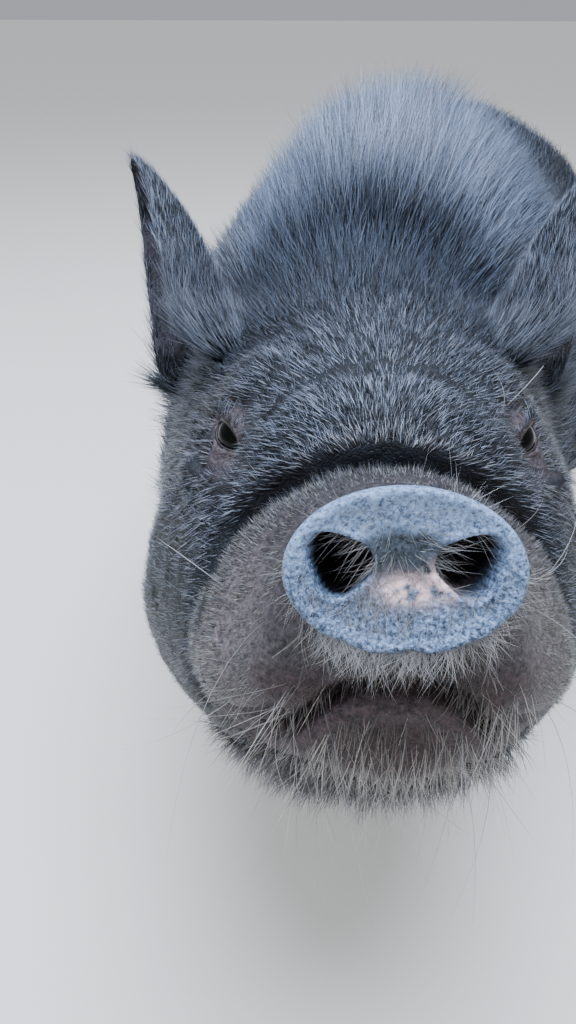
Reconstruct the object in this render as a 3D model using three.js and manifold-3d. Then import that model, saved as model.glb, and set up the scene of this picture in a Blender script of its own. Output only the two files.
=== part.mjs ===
// A life-size pot-bellied pig, standing with its snout raised and its head turned a little to its left.
// Millimetres, +Z up, the floor at z = 0. The pig faces -Y and its left side is at +X.
//
// The body is described in "straightened" coordinates: x to the pig's left, s back along the spine from
// the snout disc, and h up from the spine. The spine then tilts and turns the head.

import * as THREE from "three";
import { mergeVertices } from "three/addons/utils/BufferGeometryUtils.js";
import Module from "manifold-3d";

const wasm = await Module();
wasm.setup();

// Driving dimensions
const SPINE_HEIGHT = 222;
const RUMP_END = 962;
const RUMP_Y = 456;
const HEAD_PITCH = THREE.MathUtils.degToRad(26);
const HEAD_TURN = THREE.MathUtils.degToRad(14);
const BEND_FROM = 205;
const BEND_TO = 385;
const GAP = 0.3;
const TAU = 2 * Math.PI;

// Where one node ends and the next begins, along the spine
const DISC_BACK = 13;
const HEAD_BACK = 232;
const NECK_BACK = 372;

// Sizes of the body's section from the snout to the rump: half width, and heights over the spine of the
// top, the bottom and the widest level.
const STATIONS = [
  { name: "behind the disc", s: 13, half: 33, top: 23.5, bottom: -27, waist: -3 },
  { name: "lips", s: 18, half: 36, top: 24, bottom: -48, waist: -8 },
  { name: "front of the chin", s: 24, half: 41, top: 24.5, bottom: -70, waist: -18 },
  { name: "chin", s: 34, half: 48, top: 25.5, bottom: -81, waist: -30 },
  { name: "muzzle", s: 50, half: 59, top: 28, bottom: -91, waist: -38 },
  { name: "stop", s: 70, half: 72, top: 40, bottom: -103, waist: -42 },
  { name: "brow", s: 90, half: 84, top: 60, bottom: -113, waist: -43 },
  { name: "eyes", s: 115, half: 94, top: 80, bottom: -123, waist: -42 },
  { name: "forehead", s: 145, half: 103, top: 96, bottom: -130, waist: -40 },
  { name: "jowls", s: 180, half: 108, top: 108, bottom: -136, waist: -34 },
  { name: "poll", s: 215, half: 111, top: 120, bottom: -136, waist: -24 },
  { name: "nape", s: 250, half: 120, top: 134, bottom: -126, waist: -8 },
  { name: "neck", s: 300, half: 132, top: 164, bottom: -112, waist: 14 },
  { name: "shoulders", s: 380, half: 148, top: 188, bottom: -106, waist: 24 },
  { name: "withers", s: 450, half: 160, top: 192, bottom: -118, waist: 14 },
  { name: "back", s: 550, half: 164, top: 174, bottom: -140, waist: 0 },
  { name: "belly", s: 650, half: 178, top: 168, bottom: -150, waist: -6 },
  { name: "loin", s: 750, half: 168, top: 176, bottom: -132, waist: 8 },
  { name: "hips", s: 830, half: 162, top: 186, bottom: -86, waist: 34 },
  { name: "rump", s: 900, half: 152, top: 176, bottom: -48, waist: 46 },
  { name: "rear", s: RUMP_END, half: 140, top: 150, bottom: -20, waist: 54 },
];

// The rump closes in a round end.
const ROUND_FROM = 820;
const REAR_LEVEL = 58;

// Bulges of fat and muscle: a place and radii in x, s and h, and the outward and forward push.
const BULGES = [
  { name: "lip pads", at: [50, 54, -46], size: [26, 32, 30], out: 8, forward: 0 },
  { name: "jowls", at: [98, 152, -44], size: [45, 52, 48], out: 8, forward: 0 },
  { name: "forehead roll", at: [0, 84, 54], size: [50, 13, 16], out: 5, forward: 2 },
  { name: "brow ridges", at: [64, 126, 70], size: [24, 17, 15], out: 7, forward: 2 },
  { name: "eye hollows", at: [70, 116, 42], size: [18, 15, 13], out: -7, forward: 0 },
  { name: "eye bags", at: [78, 112, 16], size: [20, 14, 10], out: 4, forward: 0 },
  { name: "ear bases", at: [84, 200, 96], size: [30, 30, 34], out: 12, forward: 0 },
  { name: "chin", at: [0, 30, -64], size: [26, 16, 18], out: 3, forward: 3 },
  { name: "shoulder blades", at: [140, 452, 10], size: [60, 62, 96], out: 15, forward: 0 },
  { name: "hams", at: [140, 846, 6], size: [70, 62, 96], out: 16, forward: 0 },
];

// Folds of skin: the points of a path in x, s and h, the depth and the half width of the groove.
const FOLDS = [
  {
    name: "fold over the snout and round the lips",
    path: [[0, 64, 33], [30, 64, 27], [52, 70, 12], [63, 76, -10], [68, 80, -30], [68, 84, -62]],
    depth: 9,
    width: 7,
  },
  {
    name: "mouth",
    path: [[0, 15, -40], [20, 16, -44], [37, 36, -65], [55, 66, -73], [70, 92, -73], [82, 112, -68]],
    depth: 4,
    width: 4,
  },
  {
    name: "fold below the eye",
    path: [[48, 100, 34], [62, 104, 22], [84, 112, 14], [98, 126, 6]],
    depth: 4,
    width: 6,
  },
  {
    name: "fold behind the jowl",
    path: [[60, 236, -112], [96, 228, -70], [112, 224, -20], [108, 228, 30]],
    depth: 8,
    width: 12,
  },
];
const FOLD_SAMPLES = 24;

// The crest of bristles along the neck and back, out to their tips. Its locks stand in staggered rows
// on a low swelling of the body, the dense hair at their roots.
const CREST = { from: 150, full: 262, to: 930, high: 46, low: 18, spread: 0.5, core: 0.4 };
const LOCK = {
  sunk: 9,
  wide: 23,
  thick: 6,
  row: 29,
  sparse: 1.37,
  apart: 21,
  upright: 0.3,
  flat: 0.8,
  curve: 0.5,
  parts: 3,
};
const SEED = 20731;

// The coat over the skin, in the solids: thin on the snout, deeper back from the brow
const COAT_FACE = 1;
const COAT_BODY = 7;
const COAT_FROM = 60;
const COAT_FULL = 260;

const SIDES_HEAD = 42;
const SIDES_BODY = 32;

const SKIN = { color: 0x23272e, roughness: 0.85, metalness: 0 };
const DISC = { color: 0x5f6c80, roughness: 0.5, metalness: 0 };
const HORN = { color: 0x2b2623, roughness: 0.55, metalness: 0 };
const EYE = { color: 0x120d0a, roughness: 0.1, metalness: 0 };

const smooth = (t) => {
  const k = THREE.MathUtils.clamp(t, 0, 1);
  return k * k * (3 - 2 * k);
};

// One column of a table of stations at s, as a smooth curve through its values.
function between(table, key, s) {
  const last = table.length - 1;
  if (s <= table[0].s) return table[0][key];
  if (s >= table[last].s) return table[last][key];
  const i = table.findIndex((row) => row.s > s) - 1;
  const slope = (j) => {
    const a = table[Math.max(j - 1, 0)];
    const b = table[Math.min(j + 1, last)];
    return (b[key] - a[key]) / (b.s - a.s);
  };
  const span = table[i + 1].s - table[i].s;
  const t = (s - table[i].s) / span;
  return (
    (1 + 2 * t) * (1 - t) ** 2 * table[i][key] +
    t * (1 - t) ** 2 * span * slope(i) +
    t * t * (3 - 2 * t) * table[i + 1][key] +
    t * t * (t - 1) * span * slope(i + 1)
  );
}

// The spine as one frame per millimetre, from the level torso forwards to the raised, turned head.
function makeSpine() {
  const frames = [];
  const origin = new THREE.Vector3(0, RUMP_Y, SPINE_HEIGHT);
  for (let s = RUMP_END; s >= 0; s -= 1) {
    const bend = 1 - smooth((s - BEND_FROM) / (BEND_TO - BEND_FROM));
    const turn = new THREE.Euler(-HEAD_PITCH * bend, 0, HEAD_TURN * bend, "ZYX");
    const axes = [[1, 0, 0], [0, 1, 0], [0, 0, 1]].map((a) => new THREE.Vector3(...a).applyEuler(turn));
    frames[s] = { origin: origin.clone(), side: axes[0], back: axes[1], up: axes[2] };
    origin.sub(axes[1]);
  }
  return frames;
}
const SPINE = makeSpine();

// A point of the straightened body, in the standing pig.
function posed(x, s, h) {
  const whole = THREE.MathUtils.clamp(Math.round(s), 0, RUMP_END);
  const frame = SPINE[whole];
  return frame.origin
    .clone()
    .addScaledVector(frame.side, x)
    .addScaledVector(frame.up, h)
    .addScaledVector(frame.back, s - whole);
}

// A direction of the straightened body at s, in the standing pig.
function turned(x, s, h, at) {
  return posed(x, at + s, h).sub(posed(0, at, 0));
}

const foldPaths = FOLDS.map((fold) => ({
  ...fold,
  points: new THREE.CatmullRomCurve3(fold.path.map((p) => new THREE.Vector3(...p))).getPoints(FOLD_SAMPLES),
}));

const coatDepth = (s) => COAT_FACE + (COAT_BODY - COAT_FACE) * smooth((s - COAT_FROM) / (COAT_FULL - COAT_FROM));

function crestHeight(s, angle) {
  const rise = smooth((s - CREST.from) / (CREST.full - CREST.from));
  const fall = 1 - smooth((s - CREST.full) / (CREST.to - CREST.full));
  const around = Math.abs(Math.atan2(Math.sin(angle), Math.cos(angle))) / CREST.spread;
  return rise * (CREST.low * Math.sqrt(fall) + (CREST.high - CREST.low) * fall) * Math.exp(-(around ** 2));
}

// A point of the straightened surface at s and angle, measured from the top towards +X, raised by rise.
function surface(s, angle, rise) {
  const end = Math.max(0, (s - ROUND_FROM) / (RUMP_END - ROUND_FROM));
  const shrink = Math.sqrt(Math.max(0, 1 - end ** 2.2));
  const closing = (value) => REAR_LEVEL + (value - REAR_LEVEL) * shrink;
  const half = between(STATIONS, "half", s) * shrink;
  const waist = closing(between(STATIONS, "waist", s));
  const rim = closing(between(STATIONS, Math.cos(angle) > 0 ? "top" : "bottom", s));
  const height = Math.abs(rim - waist);
  const place = [half * Math.sin(angle), s, waist + height * Math.cos(angle)];
  const outward = new THREE.Vector2(Math.sin(angle) * height, Math.cos(angle) * half).normalize();
  let out = rise * Math.min(1, shrink + 0.2);
  let forward = 0;
  const away = (p) => [Math.abs(place[0]) - p[0], place[1] - p[1], place[2] - p[2]];
  for (const bulge of BULGES) {
    const d = away(bulge.at);
    const share = Math.exp(-d.reduce((sum, v, i) => sum + (v / bulge.size[i]) ** 2, 0));
    out += bulge.out * share;
    forward += bulge.forward * share;
  }
  for (const fold of foldPaths) {
    const near = Math.min(...fold.points.map((p) => Math.hypot(...away([p.x, p.y, p.z]))));
    out -= fold.depth * Math.exp(-((near / fold.width) ** 2));
  }
  return [place[0] + outward.x * out, s - forward, place[2] + outward.y * out];
}

// A point of the trunk's solid surface: skin and coat, with the swelling under the crest.
function skinPoint(s, angle, rise) {
  return posed(...surface(s, angle, rise + coatDepth(s) + CREST.core * crestHeight(s, angle)));
}

// A closed surface through rings with the same number of points; an end of one point is a tip.
function loft(rings) {
  const positions = rings.flat().flatMap((p) => [p.x, p.y, p.z]);
  const faces = [];
  const starts = [];
  rings.reduce((at, ring) => (starts.push(at), at + ring.length), 0);
  for (let i = 0; i + 1 < rings.length; i += 1) {
    const [a, b] = [rings[i], rings[i + 1]];
    const sides = Math.max(a.length, b.length);
    for (let j = 0; j < sides; j += 1) {
      const k = (j + 1) % sides;
      const at = (ring, start, n) => start + (ring.length === 1 ? 0 : n);
      if (a.length > 1) faces.push(at(a, starts[i], j), at(a, starts[i], k), at(b, starts[i + 1], j));
      if (b.length > 1) faces.push(at(a, starts[i], k), at(b, starts[i + 1], k), at(b, starts[i + 1], j));
    }
  }
  // An end is closed by a strip between the ring's first half and its second, walked backwards.
  const cap = (ring, start, flip) => {
    const face = (a, b, c) => faces.push(start + a, start + (flip ? c : b), start + (flip ? b : c));
    let [low, high] = [0, ring.length - 1];
    while (high - low > 1) {
      face(low, low + 1, high);
      if (high - low > 2) face(low + 1, high - 1, high);
      low += 1;
      high -= 1;
    }
  };
  cap(rings[0], starts[0], true);
  cap(rings.at(-1), starts.at(-1), false);
  const geometry = new THREE.BufferGeometry();
  geometry.setAttribute("position", new THREE.Float32BufferAttribute(positions, 3));
  geometry.setIndex(faces);
  return geometry;
}

// A three.js geometry as a solid, turned the right way out.
function solidOf(geometry) {
  const bare = geometry.clone();
  bare.deleteAttribute("normal");
  bare.deleteAttribute("uv");
  const merged = mergeVertices(bare, 1e-3);
  const make = (triVerts) =>
    new wasm.Manifold(new wasm.Mesh({ numProp: 3, vertProperties: merged.attributes.position.array, triVerts }));
  const made = make(new Uint32Array(merged.index.array));
  return made.volume() > 0 ? made : make(new Uint32Array(merged.index.array).reverse());
}

const loftSolid = (rings) => solidOf(loft(rings));

// The largest closed piece of a solid, without loose scraps or sealed hollows.
function largest(solid) {
  return solid.decompose().reduce((best, piece) => (piece.volume() > best.volume() ? piece : best));
}

// Places along the spine, a step apart that changes with the place.
function places(from, to, stepAt) {
  const found = [];
  for (let s = from; s < to - 0.6 * stepAt(s); s += stepAt(s)) found.push(s);
  return [...found, to];
}

// A length of the body between two places, as a solid.
function bodyLength(list, sides, rise) {
  return loftSolid(
    list.map((s) => Array.from({ length: sides }, (_, j) => skinPoint(s, (TAU * j) / sides, rise))),
  );
}

const headSteps = (s) => 3.9 + 0.072 * s;

function torsoPlaces(from) {
  const straight = places(from, ROUND_FROM, () => 30);
  const turns = 7;
  const round = Array.from({ length: turns }, (_, i) => Math.sin(((i + 1) / (turns + 0.5)) * (Math.PI / 2)));
  return [...straight, ...round.map((t) => ROUND_FROM + t * (RUMP_END - ROUND_FROM))];
}

// Snout disc

const DISC_SHAPE = { half: 38, high: 27, thick: 10, hollow: 2.5 };
const NOSTRIL = { x: 19.5, h: 2.5, wide: 9, high: 9.8, depth: 34, narrowing: 0.55, sides: 12 };
const DISC_SIDES = 28;

// A ring of the disc, an oval whose foot is a little flattened.
function discRing(share, s, grow) {
  return Array.from({ length: DISC_SIDES }, (_, j) => {
    const a = (TAU * j) / DISC_SIDES;
    const foot = Math.cos(a) < 0 ? 0.96 : 1;
    return posed((DISC_SHAPE.half * share + grow) * Math.sin(a), s, (DISC_SHAPE.high * share * foot + grow) * Math.cos(a));
  });
}

function makeDisc() {
  const { thick, hollow } = DISC_SHAPE;
  const rings = [
    [posed(0, hollow, 0)],
    discRing(0.3, hollow * 0.9, 0),
    discRing(0.6, hollow * 0.5, 0),
    discRing(0.84, -0.2, 0),
    discRing(0.95, 0.6, 0),
    discRing(1, 3, 0),
    discRing(1, 6, 0),
    discRing(0.95, thick - 1, 0),
    discRing(0.87, DISC_BACK - GAP, 0),
  ];
  return loftSolid(rings);
}

// One nostril as a tapering bore that leans inwards.
function nostrilBore(side) {
  const rings = [-6, 0, 8, NOSTRIL.depth].map((s) => {
    const shrink = 1 - NOSTRIL.narrowing * Math.max(0, s / NOSTRIL.depth);
    return Array.from({ length: NOSTRIL.sides }, (_, j) => {
      const a = (TAU * j) / NOSTRIL.sides;
      const x = NOSTRIL.x * (1 - 0.25 * Math.max(0, s / NOSTRIL.depth)) + NOSTRIL.wide * shrink * Math.sin(a);
      return posed(side * x, s, NOSTRIL.h + NOSTRIL.high * shrink * Math.cos(a));
    });
  });
  return loftSolid(rings);
}

// Eyes

const EYE_BALL = { x: 59, s: 121, h: 37.5, radius: 13, columns: 16, rows: 10 };
const LID = { long: 13.5, high: 8.6, tilt: 0.95, upper: 4.6, lower: 3.6, sides: 6, steps: 18 };
const GAZE = new THREE.Vector3(0.68, -0.7, 0.15).normalize();

// The eye's own frame on one side, in the standing pig: its centre, the gaze, and two axes across it.
function eyeFrame(side) {
  const centre = posed(side * EYE_BALL.x, EYE_BALL.s, EYE_BALL.h);
  const gaze = turned(side * GAZE.x, GAZE.y, GAZE.z, 0).normalize();
  const level = new THREE.Vector3().crossVectors(turned(0, 0, 1, 0), gaze).normalize();
  const up = new THREE.Vector3().crossVectors(gaze, level);
  const lean = side * LID.tilt;
  const along = level.clone().multiplyScalar(Math.cos(lean)).addScaledVector(up, Math.sin(lean));
  const across = new THREE.Vector3().crossVectors(gaze, along);
  return { centre, gaze, along, across };
}

// A point in front of the eye, at a share of the almond's outline and a distance from its centre.
function almond(frame, angle, grow, out) {
  const x = (LID.long + grow) * Math.cos(angle);
  const y = (LID.high + grow) * Math.sin(angle) * (1 - 0.25 * Math.cos(angle) ** 2);
  const point = frame.centre.clone().addScaledVector(frame.along, x).addScaledVector(frame.across, y);
  return point.addScaledVector(frame.gaze, out);
}

function eyeBall(side, radius) {
  const ball = new THREE.SphereGeometry(radius, EYE_BALL.columns, EYE_BALL.rows);
  const centre = eyeFrame(side).centre;
  return solidOf(ball.translate(centre.x, centre.y, centre.z));
}

// The opening between the lids, cut from the eyeball outwards.
function lidOpening(side) {
  const frame = eyeFrame(side);
  const ring = (out) => Array.from({ length: LID.steps }, (_, j) => almond(frame, (TAU * j) / LID.steps, 0, out));
  return loftSolid([ring(2), ring(45)]);
}

// Both lids of one eye, a rounded rim that hugs the eyeball.
function lids(side) {
  const frame = eyeFrame(side);
  const rings = Array.from({ length: LID.steps + 1 }, (_, j) => {
    const angle = (TAU * j) / LID.steps;
    const middle = almond(frame, angle, 1.5, 0);
    const flat = middle.clone().sub(frame.centre);
    const reach = 1 + Math.sqrt(Math.max(40, (EYE_BALL.radius + 1) ** 2 - flat.lengthSq()));
    middle.addScaledVector(frame.gaze, reach);
    const thick = Math.sin(angle) * side > 0 ? LID.upper : LID.lower;
    const outward = flat.normalize();
    return Array.from({ length: LID.sides }, (_, k) => {
      const turn = (TAU * k) / LID.sides;
      return middle
        .clone()
        .addScaledVector(outward, thick * Math.cos(turn))
        .addScaledVector(frame.gaze, thick * 0.8 * Math.sin(turn));
    });
  });
  return ringOf(rings);
}

// A closed hoop through rings whose last equals its first.
function ringOf(rings) {
  const half = Math.floor(rings.length / 2);
  return loftSolid(rings.slice(0, half + 1)).add(loftSolid(rings.slice(half)));
}

// Ears

const EAR = {
  base: [88, 212, 86],
  tip: [139, 243, 193],
  sunk: 44,
  open: [0.95, -0.3, 0],
  wide: 38,
  deep: 1.25,
  taper: 0.62,
  curl: 1.5,
  thick: 4.2,
  rows: 9,
  across: 9,
};

// A point of the ear: v along it, w from -1 to 1 across it, and in or out of the cup.
function earPoint(side, v, w, out, grow) {
  const at = (p) => posed(side * p[0], p[1], p[2]);
  const base = at(EAR.base);
  const axis = at(EAR.tip).sub(base);
  const length = axis.length();
  axis.normalize();
  const open = turned(side * EAR.open[0], EAR.open[1], EAR.open[2], 0);
  open.addScaledVector(axis, -open.dot(axis)).normalize();
  const wide = new THREE.Vector3().crossVectors(axis, open);
  const under = Math.max(-v, 0);
  const half = EAR.wide * (1 - Math.max(v, 0)) ** EAR.taper * (1 - 0.7 * under ** 1.5) + grow;
  const deep = half * EAR.deep;
  const middle = 0.55 * deep * (1 - Math.max(v, 0) ** 2) - 26 * under ** 1.3;
  return base
    .addScaledVector(axis, v < 0 ? EAR.sunk * v : length * v)
    .addScaledVector(wide, ((half + out) * Math.sin(w * EAR.curl)) / Math.sin(EAR.curl))
    .addScaledVector(open, middle - (deep + out) * Math.cos(w * EAR.curl));
}

function makeEar(side, grow) {
  const across = Array.from({ length: EAR.across }, (_, i) => -1 + (2 * i) / (EAR.across - 1));
  const along = [-1, -0.66, -0.33, ...Array.from({ length: EAR.rows }, (_, i) => (i / EAR.rows) ** 0.9)];
  const rings = along.map((v) => {
    const half = EAR.thick * (0.5 - 0.22 * Math.max(v, 0)) + grow;
    const outer = across.map((w) => earPoint(side, v, w, half, grow));
    const inner = across.map((w) => earPoint(side, v, w, -half, grow)).reverse();
    return [...outer, ...inner];
  });
  return loftSolid([...rings, [earPoint(side, 1, 0, 0, 0)]]);
}

// Legs: joints from the body down to the foot, with the section's half width and half depth.

const LEGS = {
  fore: {
    x: 98,
    y: -38,
    joints: [
      { out: -6, back: 8, z: 250, half: 44, deep: 66 },
      { out: 0, back: 6, z: 190, half: 50, deep: 64 },
      { out: 2, back: 4, z: 152, half: 42, deep: 49 },
      { out: 0, back: -2, z: 118, half: 31, deep: 34 },
      { out: -2, back: -6, z: 92, half: 28, deep: 29 },
      { out: -2, back: -3, z: 66, half: 24, deep: 25 },
      { out: 0, back: 0, z: 46, half: 26, deep: 27 },
      { out: 1, back: -6, z: 30, half: 24, deep: 24 },
      { out: 1, back: -9, z: 20, half: 19, deep: 17 },
    ],
  },
  hind: {
    x: 96,
    y: 338,
    joints: [
      { out: -8, back: -16, z: 270, half: 50, deep: 84 },
      { out: -2, back: -10, z: 205, half: 54, deep: 84 },
      { out: 2, back: 6, z: 160, half: 44, deep: 62 },
      { out: 0, back: 24, z: 124, half: 31, deep: 41 },
      { out: -2, back: 30, z: 98, half: 25, deep: 30 },
      { out: -2, back: 20, z: 70, half: 23, deep: 25 },
      { out: 0, back: 10, z: 46, half: 26, deep: 27 },
      { out: 1, back: 2, z: 30, half: 24, deep: 24 },
      { out: 1, back: -2, z: 20, half: 19, deep: 17 },
    ],
  },
};
const STRIDE = { fore_left: -16, fore_right: 10, hind_left: 12, hind_right: -14 };
const LEG_SIDES = 14;
const LEG_STEPS = 12;

// The leg's section at t, from 0 at the body to 1 at the foot. The foot shifts along the stride.
function legSection(kind, side, stride, t) {
  const { x, y, joints } = LEGS[kind];
  const table = joints.map((joint, i) => ({ ...joint, s: i / (joints.length - 1) }));
  const z = between(table, "z", t);
  const swing = stride * smooth((table[0].z - z) / table[0].z);
  return {
    centre: new THREE.Vector3(side * (x + between(table, "out", t)), y + between(table, "back", t) + swing, z),
    half: between(table, "half", t),
    deep: between(table, "deep", t),
  };
}

function makeLeg(kind, side, stride, grow) {
  const rings = Array.from({ length: LEG_STEPS + 1 }, (_, i) => {
    const { centre, half, deep } = legSection(kind, side, stride, i / LEG_STEPS);
    return Array.from({ length: LEG_SIDES }, (_, j) => {
      const a = (TAU * j) / LEG_SIDES;
      const drop = i === LEG_STEPS ? -grow : 0;
      return centre.clone().add(new THREE.Vector3((half + grow) * Math.sin(a), (deep + grow) * Math.cos(a), drop));
    });
  });
  return loftSolid(rings);
}

// Claws: two that bear the weight on each foot, and two dew claws behind and above them.

const CLAW = { long: 46, wide: 21, high: 28, apart: 12.2, toe: 6, splay: 0.1, sides: 10 };
const DEW = { long: 17, wide: 11, apart: 13, behind: 19, z: 33 };

function makeClaw(foot, side, inner) {
  const { centre } = foot;
  const sign = inner ? -side : side;
  const rings = [
    { z: 0, long: 1, wide: 0.92, shift: 0 },
    { z: 4, long: 1.02, wide: 1, shift: 0 },
    { z: 15, long: 0.86, wide: 0.98, shift: 0.07 },
    { z: CLAW.high, long: 0.62, wide: 0.86, shift: 0.15 },
  ].map((level) =>
    Array.from({ length: CLAW.sides }, (_, j) => {
      const a = (TAU * j) / CLAW.sides;
      const toe = Math.cos(a) > 0 ? 1.12 : 0.88;
      const x = (CLAW.wide / 2) * level.wide * Math.sin(a) * (1 - 0.25 * Math.max(0, Math.cos(a)));
      const y = -(CLAW.long / 2) * level.long * Math.cos(a) * toe + CLAW.long * level.shift - CLAW.toe;
      const turn = sign * CLAW.splay;
      return new THREE.Vector3(
        centre.x + sign * CLAW.apart + x * Math.cos(turn) - y * Math.sin(turn) * -1,
        centre.y + y * Math.cos(turn),
        level.z,
      );
    }),
  );
  return loftSolid(rings);
}

function makeDewClaw(foot, side, inner) {
  const sign = inner ? -side : side;
  const root = new THREE.Vector3(foot.centre.x + sign * DEW.apart, foot.centre.y + DEW.behind, DEW.z);
  const rings = [0, 0.5, 1].map((t) => {
    const shrink = 1 - 0.72 * t * t;
    return Array.from({ length: 7 }, (_, j) => {
      const a = (TAU * j) / 7;
      return new THREE.Vector3(
        root.x + sign * 3 * t + (DEW.wide / 2) * shrink * Math.sin(a),
        root.y - 6 + DEW.long * t + (DEW.wide / 2) * shrink * Math.cos(a) * 0.5,
        root.z - 12 * t + (DEW.wide / 2) * shrink * Math.cos(a),
      );
    });
  });
  return loftSolid(rings);
}

// Lower jaw: the part of the head below an arch seen from the front, back to a slanted plane.

const MOUTH_ARCH = [[0, -40], [20, -44.5], [37, -64], [52, -71], [70, -72.5], [82, -69], [130, -64]];
const JAW = { front: 4, back: 112, slant: 0.7, floor: -200, seam: 1.2 };

function jawCutter(rise, grow) {
  const arch = [...MOUTH_ARCH.slice(1).reverse().map(([x, h]) => [-x, h]), ...MOUTH_ARCH];
  const outline = [...arch, ...arch.map(([x]) => [x, JAW.floor]).reverse()];
  const lift = (h) => (h > JAW.floor ? rise : 0);
  const backOf = (h) => JAW.back + grow - JAW.slant * (h - MOUTH_ARCH[0][1]);
  const front = outline.map(([x, h]) => posed(x, JAW.front, h + lift(h)));
  const back = outline.map(([x, h]) => posed(x, backOf(h), h + lift(h)));
  return loftSolid([front, back]);
}

// Tail: a thin tube that hangs behind the rump.

const TAIL = {
  joints: [
    { s: 0, y: 426, z: 346, radius: 15 },
    { s: 0.2, y: 460, z: 336, radius: 12 },
    { s: 0.38, y: 476, z: 304, radius: 9.5 },
    { s: 0.64, y: 478, z: 256, radius: 7.5 },
    { s: 1, y: 472, z: 186, radius: 5 },
  ],
  lean: 10,
  sides: 10,
  steps: 12,
  locks: 9,
};

function tailPoint(t) {
  const lean = TAIL.lean * t * t;
  return new THREE.Vector3(lean, between(TAIL.joints, "y", t), between(TAIL.joints, "z", t));
}

function makeTail(grow) {
  const rings = Array.from({ length: TAIL.steps + 1 }, (_, i) => {
    const t = i / TAIL.steps;
    const centre = tailPoint(t);
    const along = tailPoint(t + 0.01).sub(tailPoint(t - 0.01)).normalize();
    const front = new THREE.Vector3(1, 0, 0).cross(along).normalize();
    const radius = between(TAIL.joints, "radius", t) + grow;
    return Array.from({ length: TAIL.sides }, (_, j) => {
      const a = (TAU * j) / TAIL.sides;
      return centre
        .clone()
        .addScaledVector(new THREE.Vector3(1, 0, 0), radius * Math.sin(a))
        .addScaledVector(front, radius * Math.cos(a));
    });
  });
  return loftSolid(rings);
}

// Locks of bristles: flat, tapered and bent backwards, with their roots sunk in the body.

// Numbers from 0 to 1 that look random and are the same on every run.
function makeRandom(seed) {
  let state = seed;
  return () => {
    state = (Math.imul(state, 1664525) + 1013904223) >>> 0;
    return state / 2 ** 32;
  };
}

// A lock from a root, rising along out, bending towards back, its flat side turned along across.
function lockSolid({ root, out, back, across, length, lean, wide, thick }, grow) {
  const rings = [];
  const at = root.clone();
  for (let i = 0; i < LOCK.parts; i += 1) {
    const t = i / LOCK.parts;
    const bend = lean + LOCK.curve * t;
    const along = out.clone().multiplyScalar(Math.cos(bend)).addScaledVector(back, Math.sin(bend)).normalize();
    const flat = new THREE.Vector3().crossVectors(along, across).normalize();
    const half = (wide / 2) * (1 - 0.55 * t * t) + grow;
    const deep = (thick / 2) * (1 - 0.5 * t) + grow;
    rings.push([
      at.clone().addScaledVector(across, half),
      at.clone().addScaledVector(flat, deep),
      at.clone().addScaledVector(across, -half),
      at.clone().addScaledVector(flat, -deep),
    ]);
    at.addScaledVector(along, length / LOCK.parts);
  }
  return loftSolid([...rings, [at]]);
}

// A lock's root on the trunk, and the directions there: out of the skin, backwards along it, and across.
function rootFrame(s, angle) {
  const back = skinPoint(s + 4, angle, 0).sub(skinPoint(s - 4, angle, 0)).normalize();
  const across = skinPoint(s, angle - 0.03, 0).sub(skinPoint(s, angle + 0.03, 0)).normalize();
  const out = new THREE.Vector3().crossVectors(back, across).normalize();
  return { root: skinPoint(s, angle, 0).addScaledVector(out, -LOCK.sunk), out, back, across };
}

// The place and shape of each lock of the crest, from the poll to the rump.
function crestLocks() {
  const random = makeRandom(SEED);
  const locks = [];
  let odd = 0;
  for (let s = CREST.from + 22; s < CREST.to - 40; s += LOCK.row * (s < NECK_BACK ? 1 : LOCK.sparse)) {
    const spread = s < HEAD_BACK ? 0.4 : 0.62 - 0.3 * smooth((s - NECK_BACK) / 150);
    const radius = between(STATIONS, "half", s) * 0.9;
    const count = Math.round((spread * radius) / LOCK.apart) + 0.5 * odd;
    for (let k = -count; k <= count; k += 1) {
      const angle = (k / Math.max(count, 1)) * spread;
      const place = s + (random() - 0.5) * 12;
      const high = Math.max(14, crestHeight(place, angle)) * (0.85 + 0.3 * random());
      const lean = LOCK.upright + LOCK.flat * (1 - Math.min(1, high / CREST.high)) + 0.2 * (random() - 0.5);
      const { root, out, back, across } = rootFrame(place, angle);
      back.addScaledVector(across, 0.35 * (random() - 0.5)).normalize();
      const reach = high * (1 - CREST.core) + LOCK.sunk;
      const length = reach / Math.cos(lean + 0.35 * LOCK.curve);
      const [wide, thick] = [LOCK.wide, LOCK.thick];
      locks.push({ s: place, shape: { root, out, back, across, length, lean, wide, thick } });
    }
    odd = 1 - odd;
  }
  return locks;
}

// The switch of the tail: locks that hang from its last part.
function tailLocks() {
  const random = makeRandom(SEED + 1);
  return Array.from({ length: TAIL.locks }, (_, i) => {
    const t = 0.6 + (0.39 * i) / (TAIL.locks - 1);
    const a = i * 2.4;
    const down = tailPoint(t + 0.01).sub(tailPoint(t)).normalize();
    const outward = new THREE.Vector3(Math.sin(a), Math.cos(a), 0);
    const across = new THREE.Vector3().crossVectors(outward, down).normalize();
    const length = 46 + 20 * random();
    const back = new THREE.Vector3(0, 0, -1);
    return { root: tailPoint(t), out: outward, back, across, length, lean: 1.15, wide: 8, thick: 5 };
  });
}

// The whole pig

const pig = new THREE.Group();

function addNode(name, solid, look) {
  const { numProp, vertProperties, triVerts } = largest(solid).getMesh();
  const geometry = new THREE.BufferGeometry();
  geometry.setAttribute("position", new THREE.BufferAttribute(new Float32Array(vertProperties), numProp));
  geometry.setIndex(new THREE.BufferAttribute(new Uint32Array(triVerts), 1));
  geometry.computeVertexNormals();
  const mesh = new THREE.Mesh(geometry, new THREE.MeshStandardMaterial(look));
  mesh.name = name;
  pig.add(mesh);
}

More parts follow.
